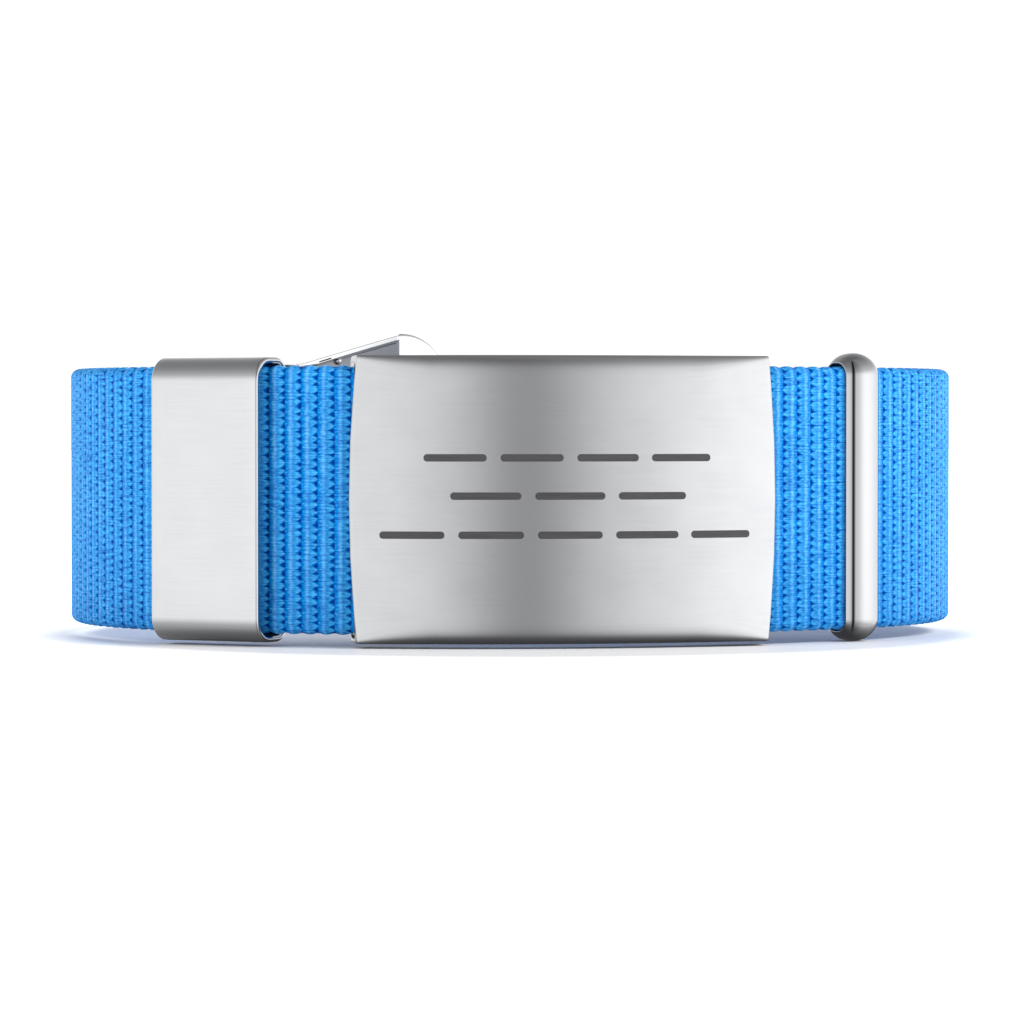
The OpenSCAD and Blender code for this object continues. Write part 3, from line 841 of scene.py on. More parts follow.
@dataclass
class IdentityPlate:
    """Curved steel plate with bent-back bands, lips behind the webbing and dark dashes."""

    loop: Loop
    low: float
    top: float
    strap_low: float
    strap_top: float
    length: float = 32.8
    end_bow: float = 0.55
    face_t: float = 0.9
    face_gap: float = 0.15
    band_gap: float = 0.1
    # Height of the rolled bands in the plate's middle, their share of it at places from the
    # middle to the end, and the least that is left
    bevel_h: float = 1.25
    bevel_form: tuple = ((0, 1), (0.62, 0.95), (0.8, 0.68), (0.9, 0.46), (1, 0.2))
    bevel_least: float = 0.05
    # How far a band falls back, gently at first and then round its edge
    band_roll: float = 0.21
    band_turn: float = 0.44
    # Height of a band's curve and of the room kept for it, in band heights
    band_reach: float = 1.38
    face_clear: float = 1.7
    edge_back: float = 0.06
    lip_t: float = 0.5
    lip_reach: float = 1.3
    # Rounding of the section's corners: lip, band, band, lip and then all those inside
    rounds: tuple = (0.25, 0.1, 0.1, 0.25) + 8 * (0.12,)
    corner: float = 0.14
    end_inset: float = 0.9
    band_steps: int = 12
    stations: int = 96
    # Height over the plate's middle and half length, as shares of the plate, and dashes
    dash_rows: tuple = ((0.145, 0.33, 4), (0.013, 0.27, 3), (-0.122, 0.43, 5))
    dash_h: float = 0.55
    dash_gap: float = 1.0
    dash_deep: float = 0.06
    dash_proud: float = 0.008
    finish: Steel = PLATE_STEEL
    mark: BurntMark = BurntMark()

    @property
    def in_r(self) -> float:
        """Radius of the face's hidden side."""
        return self.loop.flat_r + self.loop.thick / 2 + self.face_gap

    @property
    def out_r(self) -> float:
        """Radius of the face."""
        return self.in_r + self.face_t

    def end_turn(self, radius: np.ndarray, height: np.ndarray) -> np.ndarray:
        """Finds where the plate's bowed end lies.

        Args:
            radius: distance from the front arc's centre.
            height: height over the floor.

        Returns:
            Turn of the end from the plate's middle, in radians.
        """
        high = self.top - self.low
        bow_r = high ** 2 / (8 * self.end_bow) + self.end_bow / 2
        sag = bow_r - np.sqrt(bow_r ** 2 - (height - (self.low + self.top) / 2) ** 2)
        half_w = self.out_r * math.sin(self.length / 2 / self.out_r)
        return np.arcsin((half_w - sag) / radius)

    def place(self, turn: np.ndarray | float, radius: np.ndarray, height: np.ndarray) -> np.ndarray:
        """Puts points of a section in the frame.

        Args:
            turn: turn round the front arc's centre, in radians.
            radius: distance from that centre.
            height: height over the floor.

        Returns:
            X, Y and Z in the last axis.
        """
        middle_y = self.loop.flat_r - self.loop.half_d
        return np.stack(np.broadcast_arrays(radius * np.sin(turn), middle_y - radius * np.cos(turn),
                                            height), axis=-1)

    def outline(self, share: float) -> np.ndarray:
        """Draws the plate's section at a place along it, its bands rolled back.

        Args:
            share: place along the plate, 0 in its middle and 1 at its end.

        Returns:
            Radius and height of each point, counter-clockwise.
        """
        shares, heights = zip(*self.bevel_form)
        band = max(float(np.interp(share, shares, heights)) * self.bevel_h, self.bevel_least)
        scale = band / self.bevel_h
        lip_out = self.loop.flat_r - self.loop.thick / 2 - self.face_gap
        lip_in = lip_out - self.lip_t
        under, over = self.strap_low - self.band_gap, self.strap_top + self.band_gap
        low_lip, top_lip = self.strap_low + self.lip_reach, self.strap_top - self.lip_reach
        corners = np.array([
            (lip_in, self.low), (lip_out, self.low), (lip_out, self.top), (lip_in, self.top),
            (lip_in, top_lip), (lip_out, top_lip), (lip_out, over), (self.in_r, over),
            (self.in_r, under), (lip_out, under), (lip_out, low_lip), (lip_in, low_lip)])
        inside = round_corners(corners, np.array(self.rounds))
        t = np.sin(np.linspace(0, math.pi / 2, self.band_steps + 1))
        depth = self.out_r - scale * (self.band_roll * t ** 2 + self.band_turn * t ** 6)
        rise = self.band_reach * band * (1 - t)
        clear = self.face_clear * self.bevel_h
        flat = np.linspace(self.low + clear, self.top - clear, 5)
        face = np.concatenate([
            np.stack([depth, self.low + rise], axis=1)[::-1],
            np.stack([np.full(len(flat), self.out_r), flat], axis=1),
            np.stack([depth, self.top - rise], axis=1)])
        back = self.out_r - scale * (self.band_roll + self.band_turn) - self.edge_back
        each = len(inside) // len(corners)
        return np.concatenate([inside[:each], [(back, self.low)], face, [(back, self.top)],
                               inside[3 * each:]])

    def build_plate(self) -> None:
        """Presses the plate: its section swept along the arc, with rounded ends."""
        ends = end_steps(self.corner)
        steps = [(s, 0.0) for s in np.linspace(-1, 1, self.stations + 1)[1:-1]]
        half = self.length / 2
        steps = ([(back / half - 1, by) for back, by in reversed(ends)] + steps
                 + [(1 - back / half, by) for back, by in ends])
        rings = []
        for share, by in steps:
            radius, height = inset(self.outline(abs(share)), self.end_inset * by).T
            rings.append(self.place(share * self.end_turn(radius, height), radius, height))
        piece = loft("steel_plate", np.array(rings), False, 50.0)
        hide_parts("id_plate")
        finish_piece(piece, self.finish.build(), Body.BRACELET)

    def build_marks(self) -> None:
        """Burns the rows of plain dashes into the face, each with round ends."""
        points, faces = [], []
        deep, face = self.out_r - self.dash_deep, self.out_r + self.dash_proud
        r = self.dash_h / 2
        # Distances from a dash's end at which its round end is drawn
        bend = r * (1 - np.cos(np.linspace(0.3, math.pi / 2, 6)))
        for rise, share, count in self.dash_rows:
            level = (self.low + self.top) / 2 + rise * (self.top - self.low)
            half = share * self.length
            pitch = (2 * half + self.dash_gap) / count
            for start in (-half + i * pitch for i in range(count)):
                stop = start + pitch - self.dash_gap
                run = np.linspace(start + r, stop - r, 10)[1:-1]
                way = np.concatenate([start + bend, run, stop - bend[::-1]])
                from_end = np.clip(np.minimum(way - start, stop - way), 0, r)
                high = np.sqrt(r ** 2 - (r - from_end) ** 2)
                turn = way / self.out_r
                rings = np.stack([
                    self.place(turn, deep, level - high), self.place(turn, face, level - high),
                    self.place(turn, face, level + high), self.place(turn, deep, level + high),
                ], axis=1)
                first = len(points)
                last = first + 4 * (len(way) - 1)
                faces += (grid_faces(len(way), 4, False) + first).tolist()
                faces += [list(range(first, first + 4)), list(range(last, last + 4))]
                points.extend(rings.reshape(-1, 3))
        piece = new_piece("plate_dashes", np.array(points), faces, 30.0)
        finish_piece(piece, self.mark.build(), Body.BRACELET)


@dataclass
class Sleeve:
    """Bent steel sleeve that slides on the webbing."""

    loop: Loop
    low: float
    top: float
    at: float = -26.8
    length: float = 9.4
    sheet_t: float = 0.5
    front_room: float = 0.9
    back_room: float = 0.4
    front_r: float = 1.8
    back_r: float = 1.4
    rim: float = 0.23
    rim_steps: int = 6
    finish: Steel = SLEEVE_STEEL
    rim_finish: Steel = EDGE_STEEL

    def outline(self, shrink: float) -> np.ndarray:
        """Draws the sleeve's section.

        Args:
            shrink: distance inwards from its outer face.

        Returns:
            Depth from the webbing's middle line, outwards, and height of each point.
        """
        r = self.loop.side_r
        bow = r - math.sqrt(r * r - self.length ** 2 / 4)
        front = self.loop.thick / 2 + self.front_room + self.sheet_t - shrink
        back = self.loop.thick / 2 + bow + self.back_room + self.sheet_t - shrink
        corners = [(-back, self.low + shrink), (front, self.low + shrink),
                   (front, self.top - shrink), (-back, self.top - shrink)]
        radii = [self.back_r, self.front_r, self.front_r, self.back_r]
        points = []
        for i, ((depth, height), radius) in enumerate(zip(corners, radii)):
            r = max(radius - shrink, 0.05)
            middle = (depth + (r if depth < 0 else -r), height + (r if i < 2 else -r))
            for turn in np.linspace(math.pi + i * math.pi / 2, 1.5 * math.pi + i * math.pi / 2, 9):
                points.append((middle[0] + r * math.cos(turn), middle[1] + r * math.sin(turn)))
            # The front and the back rise and fall between their bends
            if i % 2:
                ends = (self.low + self.front_r, self.top - self.front_r)
                first, last = ends if i == 1 else ends[::-1]
                points += [(depth, first + share * (last - first))
                           for share in np.linspace(0, 1, 8)[1:-1]]
        return np.array(points)

    def build(self) -> None:
        """Bends the sleeve: out along its outer face, over each rim and back inside."""
        half = self.length / 2
        bend = np.linspace(0, math.pi / 2, self.rim_steps + 1)
        rim = [(half - self.rim * (1 - math.sin(a)), self.rim * (1 - math.cos(a))) for a in bend]
        rim += [(w, self.sheet_t - s) for w, s in reversed(rim)]
        runs = np.linspace(-half + self.rim, half - self.rim, 12)[1:-1]
        steps = [(w, 0.0) for w in runs] + rim
        steps += [(w, self.sheet_t) for w in runs[::-1]] + [(-w, s) for w, s in reversed(rim)]
        middle, way, out = self.loop.axes(self.at)
        rings = []
        for along, shrink in steps:
            section = self.outline(shrink)
            plan = middle + along * way + section[:, :1] * out
            rings.append(np.concatenate([plan, section[:, 1:]], axis=1))
        piece = loft("steel_sleeve", np.array(rings), True, 60.0)
        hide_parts("strap_sleeve")
        finish_piece(piece, self.finish.build(), Body.BRACELET)
        piece.data.materials.append(self.rim_finish.build())
        ring = np.arange(len(piece.data.polygons)) // len(rings[0])
        edge = np.isin(ring % (len(rings) // 2), np.arange(len(runs), len(rings) // 2 - 1))
        piece.data.polygons.foreach_set("material_index", edge.astype(np.int32))


@dataclass
class KeeperRing:
    """Polished ring with a crowned bar, standing round the webbing."""

    loop: Loop
    height: float
    at: float = 24.6
    skew: float = 7.0
    bar_w: float = 3.2
    bar_t: float = 0.8
    depth: float = 3.9
    corner_r: float = 1.8
    crown_r: float = 2.15
    edge: float = 0.12
    inner_edge: float = 0.1
    crown_steps: int = 18
    bend_steps: int = 12
    side_steps: int = 6
    finish: Steel = RING_STEEL

    def section(self) -> np.ndarray:
        """Draws the bar's section: a crowned outer side and a flat inner side.

        Returns:
            Way along the webbing and distance outwards from the inner side of each point.
        """
        half = self.bar_w / 2
        drop = math.sqrt(self.crown_r ** 2 - half ** 2)
        side = self.bar_t - (self.crown_r - drop)
        corners = np.array([(half, 0), (half, side), (-half, side), (-half, 0)])
        radii = np.array([self.inner_edge, self.edge, self.edge, self.inner_edge])
        soft = round_corners(corners, radii, 3)
        top = np.linspace(half - self.edge, self.edge - half, self.crown_steps + 1)[1:-1]
        run = np.stack([top, np.full(len(top), side)], axis=1)
        right, left = np.split(soft, 2)
        outline = np.concatenate([right, run, left])
        crown = np.sqrt(self.crown_r ** 2 - outline[:, 0] ** 2) - drop
        outline[:, 1] += crown * outline[:, 1] / side
        return outline

    def build(self) -> None:
        """Bends the bar into a ring and closes it."""
        corners = []
        d, h, r = self.depth / 2, self.height / 2, self.corner_r
        for i, (sx, sz) in enumerate([(1, -1), (1, 1), (-1, 1), (-1, -1)]):
            for turn in np.linspace(-math.pi / 2, 0, self.bend_steps + 1) + i * math.pi / 2:
                corners.append((sx * (d - r), h + sz * (h - r), turn))
            if i % 2 == 0:
                for share in np.linspace(0, 1, self.side_steps + 1)[1:-1]:
                    z = h + sz * (h - r) * (1 - 2 * share)
                    corners.append((sx * (d - r), z, i * math.pi / 2))
        section = self.section()
        middle, way, out = self.loop.axes(self.at, self.skew)
        rings = []
        for depth, level, angle in corners:
            reach = r - self.bar_t + section[:, 1]
            plan = (middle + section[:, :1] * way
                    + (depth + reach * math.cos(angle))[:, None] * out)
            rings.append(np.concatenate([plan, (level + reach * math.sin(angle))[:, None]], axis=1))
        piece = loft("polished_ring", np.array(rings), True, 50.0)
        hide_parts("keeper_ring")
        finish_piece(piece, self.finish.build(), Body.BRACELET)


@dataclass
class FoldLever:
    """Lever of the clasp: a curved sheet with a rising ear, a folded rim, a stud and a bent tab."""

    loop: Loop
    strap_low: float
    strap_top: float
    clasp_at: float = 8.4
    pin_x: float = -7.0
    knuckle_d: float = 2.3
    bore_d: float = 1.12
    face_gap: float = 0.15
    knuckle_proud: float = 0.1
    knuckle_short: float = 0.05
    knuckle_edge: float = 0.15
    sheet_t: float = 0.6
    length: float = 10.7
    tab_len: float = 4.9
    tab_r: float = 4.6
    tab_bend: float = 20.0
    bend_len: float = 0.9
    ear_in: float = 1.3
    ear_start: float = 0.8
    ear_peak: float = 3.45
    low_drop: float = 0.65
    rim_w: float = 0.45
    rim_deep: float = 1.0
    # Lengths over which the rim folds up, grows to its width and folds down, and what is left
    # bare between it and the tab
    rim_start: float = 0.15
    rim_grow: float = 1.4
    rim_end: float = 0.5
    rim_short: float = 0.15
    slot_in: float = 0.1
    slot_len: float = 1.4
    slot_h: float = 0.2
    slot_low: float = 0.03
    # How far inside the rim's face the slot's inlay has its middle, and its half depth
    slot_back: float = 0.08
    slot_half: float = 0.11
    stud_in: float = 3.7
    stud_d: float = 0.65
    stud_sunk: float = 0.1
    stud_foot: float = 0.2
    stud_dome: float = 0.3
    # Rounding of the sheet's foot, of its top, of the rim's front and of the corner inside
    rounds: tuple[float, ...] = (0.12, 0.12, 0.14, 0.05, 0.08, 0.25)
    round_most: float = 0.3
    # The tab's front edge is rounder, from this far before its bend
    tab_front: float = 0.28
    tab_reach: float = 0.4
    sides: int = 40
    finish: Steel = CLASP_STEEL
    inner_finish: Steel = SHADED_INNER_STEEL

    @property
    def pin_r(self) -> float:
        """Distance of the pin from the back arc's centre."""
        return self.loop.flat_r + self.loop.thick / 2 + self.face_gap + self.knuckle_d / 2

    @property
    def in_r(self) -> float:
        """Radius of the sheet's face that looks at the webbing."""
        return self.pin_r + self.knuckle_d / 2 - self.knuckle_proud - self.sheet_t

    def turned(self, plan: np.ndarray) -> np.ndarray:
        """Turns points of the clasp to its place at the back of the loop.

        Args:
            plan: X and Y from the back arc's centre, +Y out of the back.

        Returns:
            X and Y in the frame.
        """
        turn = math.asin(self.clasp_at / self.loop.flat_r)
        cos, sin = math.cos(turn), math.sin(turn)
        x, y = plan[..., 0], plan[..., 1]
        return np.stack([x * cos - y * sin,
                         x * sin + y * cos + self.loop.half_d - self.loop.flat_r], axis=-1)

    def sheet_line(self, stations: np.ndarray) -> tuple[np.ndarray, np.ndarray]:
        """Follows the sheet's inner face: an arc, a tight bend and the straight tab.

        Args:
            stations: distance of each station from the pin, along the sheet.

        Returns:
            X and Y of each station, and the direction across the sheet there, outwards.
        """
        start = math.asin(self.pin_x / self.in_r)
        arc = self.length - self.bend_len / 2
        fine = np.linspace(0, stations[-1], 800)
        bent = np.clip((fine - arc) / self.bend_len, 0, 1)
        bent = bent ** 2 * (3 - 2 * bent) * math.radians(self.tab_bend)
        heading = -(start + np.minimum(fine, self.length) / self.in_r) + bent
        steps = np.diff(fine, prepend=0.0)[:, None] * np.stack(
            [np.cos(heading), np.sin(heading)], axis=1)
        first = self.in_r * np.array([math.sin(start), math.cos(start)])
        line = first + np.cumsum(steps, axis=0)
        at = [np.interp(stations, fine, values) for values in (line[:, 0], line[:, 1], heading)]
        return np.stack(at[:2], axis=1), np.stack([-np.sin(at[2]), np.cos(at[2])], axis=1)

    def edges(self, way: float) -> tuple[float, float]:
        """Finds the sheet's lower and upper edge.

        Args:
            way: distance from the pin along the sheet.

        Returns:
            The two heights over the floor.
        """
        low, peak = self.strap_low - self.low_drop, self.strap_top + self.ear_peak
        if way < self.ear_in:
            return self.strap_low + self.knuckle_short, self.strap_top - self.knuckle_short
        if way < self.length:
            rise = (way - self.ear_in) / (self.length - self.ear_in)
            return low, self.strap_top + self.ear_start + rise * (self.ear_peak - self.ear_start)
        past = max(way - self.length - self.tab_len + self.tab_r, 0)
        drop = self.tab_r - math.sqrt(max(self.tab_r ** 2 - past ** 2, 0))
        return low + drop, peak - drop

    def section(self, way: float, shrink: float) -> np.ndarray:
        """Draws the sheet's section with its folded rim.

        Args:
            way: distance from the pin along the sheet.
            shrink: how far its outline moves inwards.

        Returns:
            Distance outwards from the inner face and height of each point.
        """
        low, top = self.edges(way)
        run = min(max((way - self.ear_in) / self.rim_start, 0.0), 1.0)
        widen = min(max((way - self.ear_in) / self.rim_grow, 0.0), 1.0)
        end = min(max((self.length - self.rim_short - way) / self.rim_end, 0.0), 1.0)
        # Never quite nothing, so that every section has the same points
        fold = max(self.rim_deep * (0.5 - 0.5 * math.cos(math.pi * min(run, end))), 0.004)
        rim = self.rim_w * (0.5 + 0.5 * widen)
        under = top - rim if way < self.length else (low + top) / 2
        outline = np.array([(0, low), (self.sheet_t, low), (self.sheet_t, top), (-fold, top),
                            (-fold, under), (0, under)])
        radii = np.array(self.rounds)
        if way >= self.length - self.tab_reach:
            radii[3] = self.tab_front
        return inset(round_corners(outline, np.minimum(radii, self.round_most + fold)), shrink)

    def build_sheet(self) -> None:
        """Presses the sheet with its folded rim out of its sections."""
        total = self.length + self.tab_len
        tab = self.length + self.tab_len * np.sin(np.linspace(0, math.pi / 2, 22)[1:-1])
        stations = np.concatenate([
            np.linspace(0.05, self.ear_in, 5), [self.ear_in + 0.01],
            np.linspace(self.ear_in, self.length, 60)[1:], tab, [total - 0.02]])
        line, across = self.sheet_line(stations)
        rings = []
        for i, (way, place, out) in enumerate(zip(stations, line, across)):
            section = self.section(way, 0.06 if i in (0, len(stations) - 1) else 0.0)
            plan = self.turned(place + section[:, :1] * out)
            rings.append(np.concatenate([plan, section[:, 1:]], axis=1))
        piece = loft("clasp_fold_lever", np.array(rings), False, 35.0)
        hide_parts("clasp_lever")
        finish_piece(piece, self.finish.build(), Body.LEVER)
        # The inner faces take the darker steel, which is painted shade
        piece.data.materials.append(self.inner_finish.build())
        points = len(rings[0])
        ring, point = np.divmod(np.arange(len(piece.data.polygons)), points)
        inner = (point >= points - 3) & (ring < np.searchsorted(stations, self.length - 0.3))
        piece.data.polygons.foreach_set("material_index", inner.astype(np.int32))

    def build_slot(self) -> bpy.types.Object:
        """Fills the slot of the rim with a long rounded dark inlay: painted shade in place of the
        slot's shaded inside.

        Returns:
            The piece.
        """
        start = 2 * self.ear_in + self.slot_in
        stations = np.linspace(start, start + self.slot_len, 15)
        line, across = self.sheet_line(np.append(stations, self.length))
        turns = np.linspace(0, 2 * math.pi, 13)[:-1]
        rings = []
        for i, way in enumerate(stations):
            taper = math.sqrt(max(1 - (2 * i / (len(stations) - 1) - 1) ** 8, 0.02))
            middle = self.edges(way)[1] - self.rim_w / 2 - self.slot_low
            depth = -self.rim_deep + self.slot_back + self.slot_half * np.cos(turns) * taper
            plan = self.turned(line[i] + depth[:, None] * across[i])
            level = middle + self.slot_h / 2 * taper * np.sin(turns)
            rings.append(np.concatenate([plan, level[:, None]], axis=1))
        return loft("clasp_slot_painted_shade", np.array(rings), False, 40.0)

    def build_turned(self, name: str, profile: np.ndarray, middle: np.ndarray,
                     upright: bool) -> bpy.types.Object:
        """Turns a profile round an axis: the knuckle round the pin, the stud out of the ear.

        Args:
            name: name of the piece.
            profile: radius and distance along the axis of each point.
            middle: X, Y and Z of the axis' start.
            upright: whether the axis is vertical; it points towards the plate otherwise.

        Returns:
            The piece.
        """
        turns = np.linspace(0, 2 * math.pi, self.sides + 1)[:-1]
        radius, way = profile[:, :1], profile[:, 1:] + np.zeros((1, self.sides))
        u, v = radius * np.cos(turns), radius * np.sin(turns)
        shape = np.stack([u, v, way] if upright else [u, -way, v], axis=-1)
        return loft(name, shape + middle, False, 35.0)

    def build(self, marks: BurntMark) -> None:
        """Makes the lever's pieces and dresses them.

        Args:
            marks: dark burnt-mark finish, used as painted shade inside the slot.
        """
        steel = self.finish.build()
        turn = math.asin(self.pin_x / self.pin_r)
        pin = self.turned(self.pin_r * np.array([math.sin(turn), math.cos(turn)]))
        (low, top), r = self.edges(0.0), self.knuckle_d / 2
        soft, bore = self.knuckle_edge, self.bore_d / 2
        cut = 0.3 * soft
        tube = np.array([(bore, low), (r - soft, low), (r - cut, low + cut), (r, low + soft),
                         (r, top - soft), (r - cut, top - cut), (r - soft, top), (bore, top)])
        knuckle = self.build_turned("clasp_knuckle", tube, np.array([*pin, 0.0]), True)
        way = self.ear_in + self.stud_in
        line, across = self.sheet_line(np.array([way, self.length]))
        head = self.turned(line[0] + self.stud_sunk * across[0])
        # The dome stops short of its middle, which its end face closes
        bend = np.linspace(0, math.pi / 2, 6)
        crown = np.stack([self.stud_d / 2 * np.cos(0.95 * bend),
                          self.stud_foot + self.stud_dome * np.sin(bend)], axis=1)
        dome = np.concatenate([[(self.stud_d / 2, 0.0)], crown])
        level = self.edges(way)[1] - self.rim_w - self.stud_d / 2
        stud = self.build_turned("clasp_ear_stud", dome, np.array([*head, level]), False)
        # The slot's dark inlay is painted shade, dressed in the burnt-mark finish
        made = [(knuckle, steel), (stud, steel), (self.build_slot(), marks.build())]
        self.build_sheet()
        for piece, material in made:
            finish_piece(piece, material, Body.LEVER)


@dataclass
class Clasp:
    """Fold-over clasp at the back: channel frame, drawn wire pin and the fold lever."""

    lever: FoldLever
    rounding: float = 0.09
    sheet: Steel = CHANNEL_STEEL
    wire: Steel = PIN_STEEL

    def build(self) -> None:
        """Makes the channel and the pin from the frame's solids, edges broken, and the lever."""
        for node, name, finish, slot in (
            ("clasp_frame", "clasp_channel", self.sheet, Slot.SHEET),
            ("clasp_pin", "clasp_hinge_pin", self.wire, Slot.POLISHED),
        ):
            piece = softened_copy(node, self.rounding, name)
            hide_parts(node)
            finish_piece(piece, finish.build(), Body.BRACELET)
        # The burnt-mark finish paints shade inside the lever's slot
        self.lever.build(BurntMark())


@dataclass
class Studio:
    """Matt pale floor, soft light tent and the camera at the photograph's angle."""

    azimuth: float = -8.5
    elevation: float = 1.16
    distance: float = 344.0
    aim_height: float = 9.5
    lens: float = 151.1
    sensor: float = 36.0
    floor_half: float = 2500.0
    paper: str = "#F4F4F5"
    paper_grain: str = "#EFEFF1"
    # The floor doesn't glow inside this oval: its half sizes, and how far its middle stands
    # towards the camera as a share of the second one
    glow_oval: tuple[float, float] = (35.0, 34.0)
    glow_shift: float = 0.15
    glow_edge: tuple[float, float] = (0.97, 1.2)
    # The shade that metal mirrors: half sizes of the part, where on them it is darkest, and
    # where its edge starts and ends, as shares of those
    shade_oval: tuple[float, float] = (35.1, 29.1)
    shade_at: float = 0.92
    shade_edge: tuple[float, float] = (0.06, 0.14)
    shade: Colour = (0.07, 0.07, 0.075, 1.0)
    # Brightness of the tent's walls by the turn round it in degrees, 0 towards -Y and positive
    # towards +X, and what is left of it by the sine of the rise or the fall
    walls: tuple[tuple[float, float], ...] = (
        (-180, 1.25), (-120, 1.2), (-75, 1.35), (-45, 1.5), (-28, 1.45), (-17, 1.25), (-10, 1.08),
        (-6.5, 0.4), (-2.5, 0.0), (2.5, 0.0), (6, 0.35), (9.5, 1.0), (15, 1.12), (24, 1.2),
        (36, 1.6), (52, 2.0), (90, 1.8), (130, 1.25), (180, 1.25))
    roof: tuple[tuple[float, float], ...] = (
        (0.0, 1.0), (0.16, 0.94), (0.41, 0.52), (0.77, 0.28), (1.0, 0.17))
    tent_power: float = 2.0
    backdrop: float = 1.05

    def build_floor(self) -> None:
        """Lays the floor: flat matt paper that glows outside the loop.

        Mirror rays pass through it to the tent's grey lower half, but for a dark band right
        under the loop, so metal rims that look down stay dark without mirroring the glow.
        """
        half = self.floor_half
        points = [(-half, -half, 0), (half, -half, 0), (half, half, 0), (-half, half, 0)]
        floor = new_piece("paper_floor", np.array(points, float), [(0, 1, 2, 3)])
        material, node, shader = new_material("matt studio paper")
        place = node("TexCoord").outputs["Object"]
        grain = node("TexNoise", {"Vector": place, "Scale": 400.0, "Detail": 2.0})
        tone = node("Mix", {0: grain, 6: linear(self.paper), 7: linear(self.paper_grain)},
                    data_type="RGBA")
        tree = material.node_tree
        tree.links.new(tone.outputs[2], shader.inputs["Base Color"])
        shader.inputs["Roughness"].default_value = 0.45
        shader.inputs["Specular IOR Level"].default_value = 0.04
        shader.inputs["Emission Color"].default_value = (1, 1, 1, 1)
        (glow_w, glow_d), (shade_w, shade_d) = self.glow_oval, self.shade_oval
        spread = node("Mapping", {0: place, 1: (0.0, self.glow_shift, 0.0),
                                  3: (1 / (glow_w * MM), 1 / (glow_d * MM), 1.0)})
        apart = node("VectorMath", (spread,), operation="LENGTH")
        glow = node("MapRange", (apart.outputs["Value"], *self.glow_edge, 0.0, 1.0))
        tree.links.new(glow.outputs[0], shader.inputs["Emission Strength"])
        under = node("Mapping", {0: place, 3: (1 / (shade_w * MM), 1 / (shade_d * MM), 1.0)})
        reach = node("VectorMath", (under,), operation="LENGTH")
        past = node("Math", (reach.outputs["Value"], self.shade_at), operation="SUBTRACT")
        aside = node("Math", (past,), operation="ABSOLUTE")
        shaded = node("MapRange", (aside, *self.shade_edge, 1.0, 0.0))
        mirrored = node("MixShader", (shaded, node("BsdfTransparent"),
                                      node("Emission", (self.shade, 1.0))))
        seen = node("LightPath").outputs["Is Glossy Ray"]
        mixed = node("MixShader", (seen, shader, mirrored))
        tree.links.new(mixed.outputs[0], tree.get_output_node("ALL").inputs[0])
        floor.data.materials.append(material)

    def build_world(self) -> None:
        """Makes the light tent: uneven walls, a dark slit at the camera and a dim roof.

        The camera itself sees an even white backdrop in its place.
        """
        world = bpy.data.worlds.new("light tent")
        bpy.context.scene.world = world
        world.use_nodes = True
        world.node_tree.nodes.clear()
        node = partial(add_node, world.node_tree)
        place = node("SeparateXYZ", (node("TexCoord").outputs["Generated"],))
        front = node("Math", (place.outputs[1], -1.0), operation="MULTIPLY")
        turn = node("Math", (place.outputs[0], front), operation="ARCTAN2")
        share = node("Math", (turn, 0.5 / math.pi, 0.5), operation="MULTIPLY_ADD")
        rise = node("Math", (place.outputs[2],), operation="ABSOLUTE")
        walls = [(turn / 360 + 0.5, value / self.tent_power) for turn, value in self.walls]
        ramps = []
        for factor, stops, blend in ((share, walls, "B_SPLINE"), (rise, self.roof, "LINEAR")):
            ramp = node("ValToRGB", (factor,))
            ramp.color_ramp.interpolation = blend
            for at, _ in stops[1:-1]:
                ramp.color_ramp.elements.new(at)
            for stop, (_, value) in zip(ramp.color_ramp.elements, stops):
                stop.color = (value, value, value, 1)
            ramps.append(ramp)
        tent = node("Mix", {0: 1.0, 6: ramps[0], 7: ramps[1]}, data_type="RGBA",
                    blend_type="MULTIPLY")
        light = node("Background", (tent.outputs[2], self.tent_power))
        plain = node("Background", ((1.0, 1.0, 1.0, 1.0), self.backdrop))
        seen = node("LightPath").outputs["Is Camera Ray"]
        node("OutputWorld", (node("MixShader", (seen, light, plain)),))

    def build_lights(self) -> None:
        """Hangs two soft boxes, a large one high on the right and a small one on the left."""
        for name, spot, size, power in (
            ("soft_box_right", (420.0, -260.0, 420.0), 300.0, 2.6),
            ("soft_box_left", (-380.0, -200.0, 300.0), 220.0, 0.7),
        ):
            light = bpy.data.lights.new(name, "AREA")
            light.shape, light.size, light.energy = "DISK", size * MM, power
            lamp = add_object(name, light)
            lamp.location = Vector(spot) * MM
            lamp.rotation_euler = (-Vector(spot)).to_track_quat("-Z", "Y").to_euler()
            lamp.visible_glossy = False

    def build_camera(self) -> None:
        """Sets the camera at the photograph's angle, with a long lens."""
        turn, rise = math.radians(self.azimuth), math.radians(self.elevation)
        back = Vector((math.sin(turn) * math.cos(rise), -math.cos(turn) * math.cos(rise),
                       math.sin(rise)))
        data = bpy.data.cameras.new("photograph")
        data.lens, data.sensor_width = self.lens, self.sensor
        data.clip_start, data.clip_end = 0.01, 20.0
        camera = add_object("photograph", data)
        camera.location = (Vector((0, 0, self.aim_height)) + back * self.distance) * MM
        camera.rotation_euler = (-back).to_track_quat("-Z", "Y").to_euler()
        bpy.context.scene.camera = camera

    def build(self) -> None:
        """Sets up the floor, the light and the camera."""
        scene = bpy.context.scene
        scene.view_settings.view_transform = "Standard"
        scene.view_settings.look = "None"
        self.build_floor()
        self.build_world()
        self.build_lights()
        self.build_camera()
        LOG.info("studio: camera at azimuth %.1f, elevation %.2f", self.azimuth, self.elevation)


def box_mm(node: str) -> tuple[Vector, Vector]:
    """Finds a node's box at rest.

    Args:
        node: the frame's node.

    Returns:
        Lowest and highest corners, in millimetres.
    """
    low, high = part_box(node)
    return low / MM, high / MM


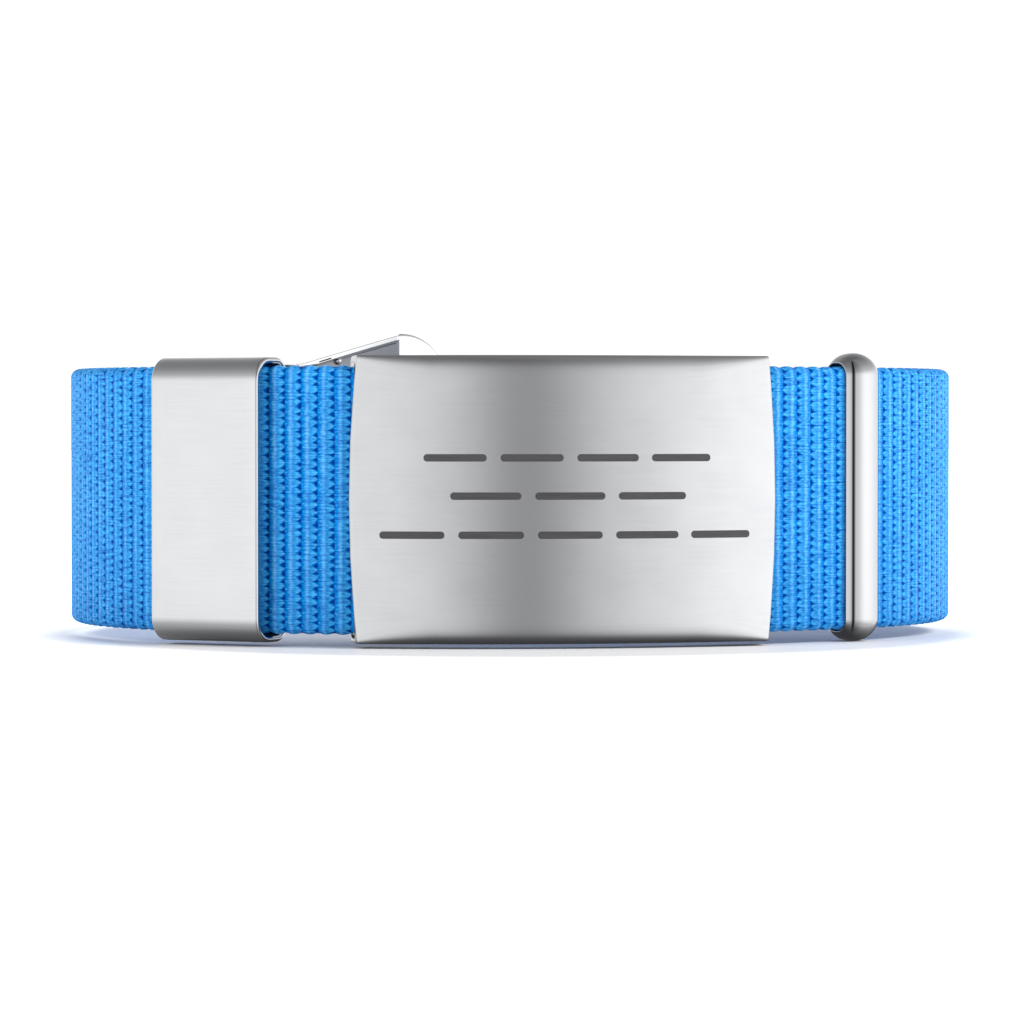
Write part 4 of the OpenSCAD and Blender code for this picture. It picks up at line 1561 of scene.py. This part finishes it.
def main() -> None:
    """Builds every piece in order, dresses it and sets up the studio."""
    logging.basicConfig(level=logging.INFO, format="%(name)s: %(message)s")
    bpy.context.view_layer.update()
    strap_low, strap_top = box_mm("webbing_strap")
    plate_low, plate_top = box_mm("id_plate")
    sleeve_low, sleeve_top = box_mm("strap_sleeve")
    ring_low, ring_top = box_mm("keeper_ring")
    size = strap_top - strap_low
    loop = Loop(size.x, size.y)
    Webbing(loop, strap_low.z, size.z).build()
    plate = IdentityPlate(loop, plate_low.z, plate_top.z, strap_low.z, strap_top.z)
    plate.build_plate()
    plate.build_marks()
    Sleeve(loop, sleeve_low.z, sleeve_top.z).build()
    KeeperRing(loop, ring_top.z - ring_low.z).build()
    Clasp(FoldLever(loop, strap_low.z, strap_top.z)).build()
    Studio().build()


if __name__ == "__main__":
    main()
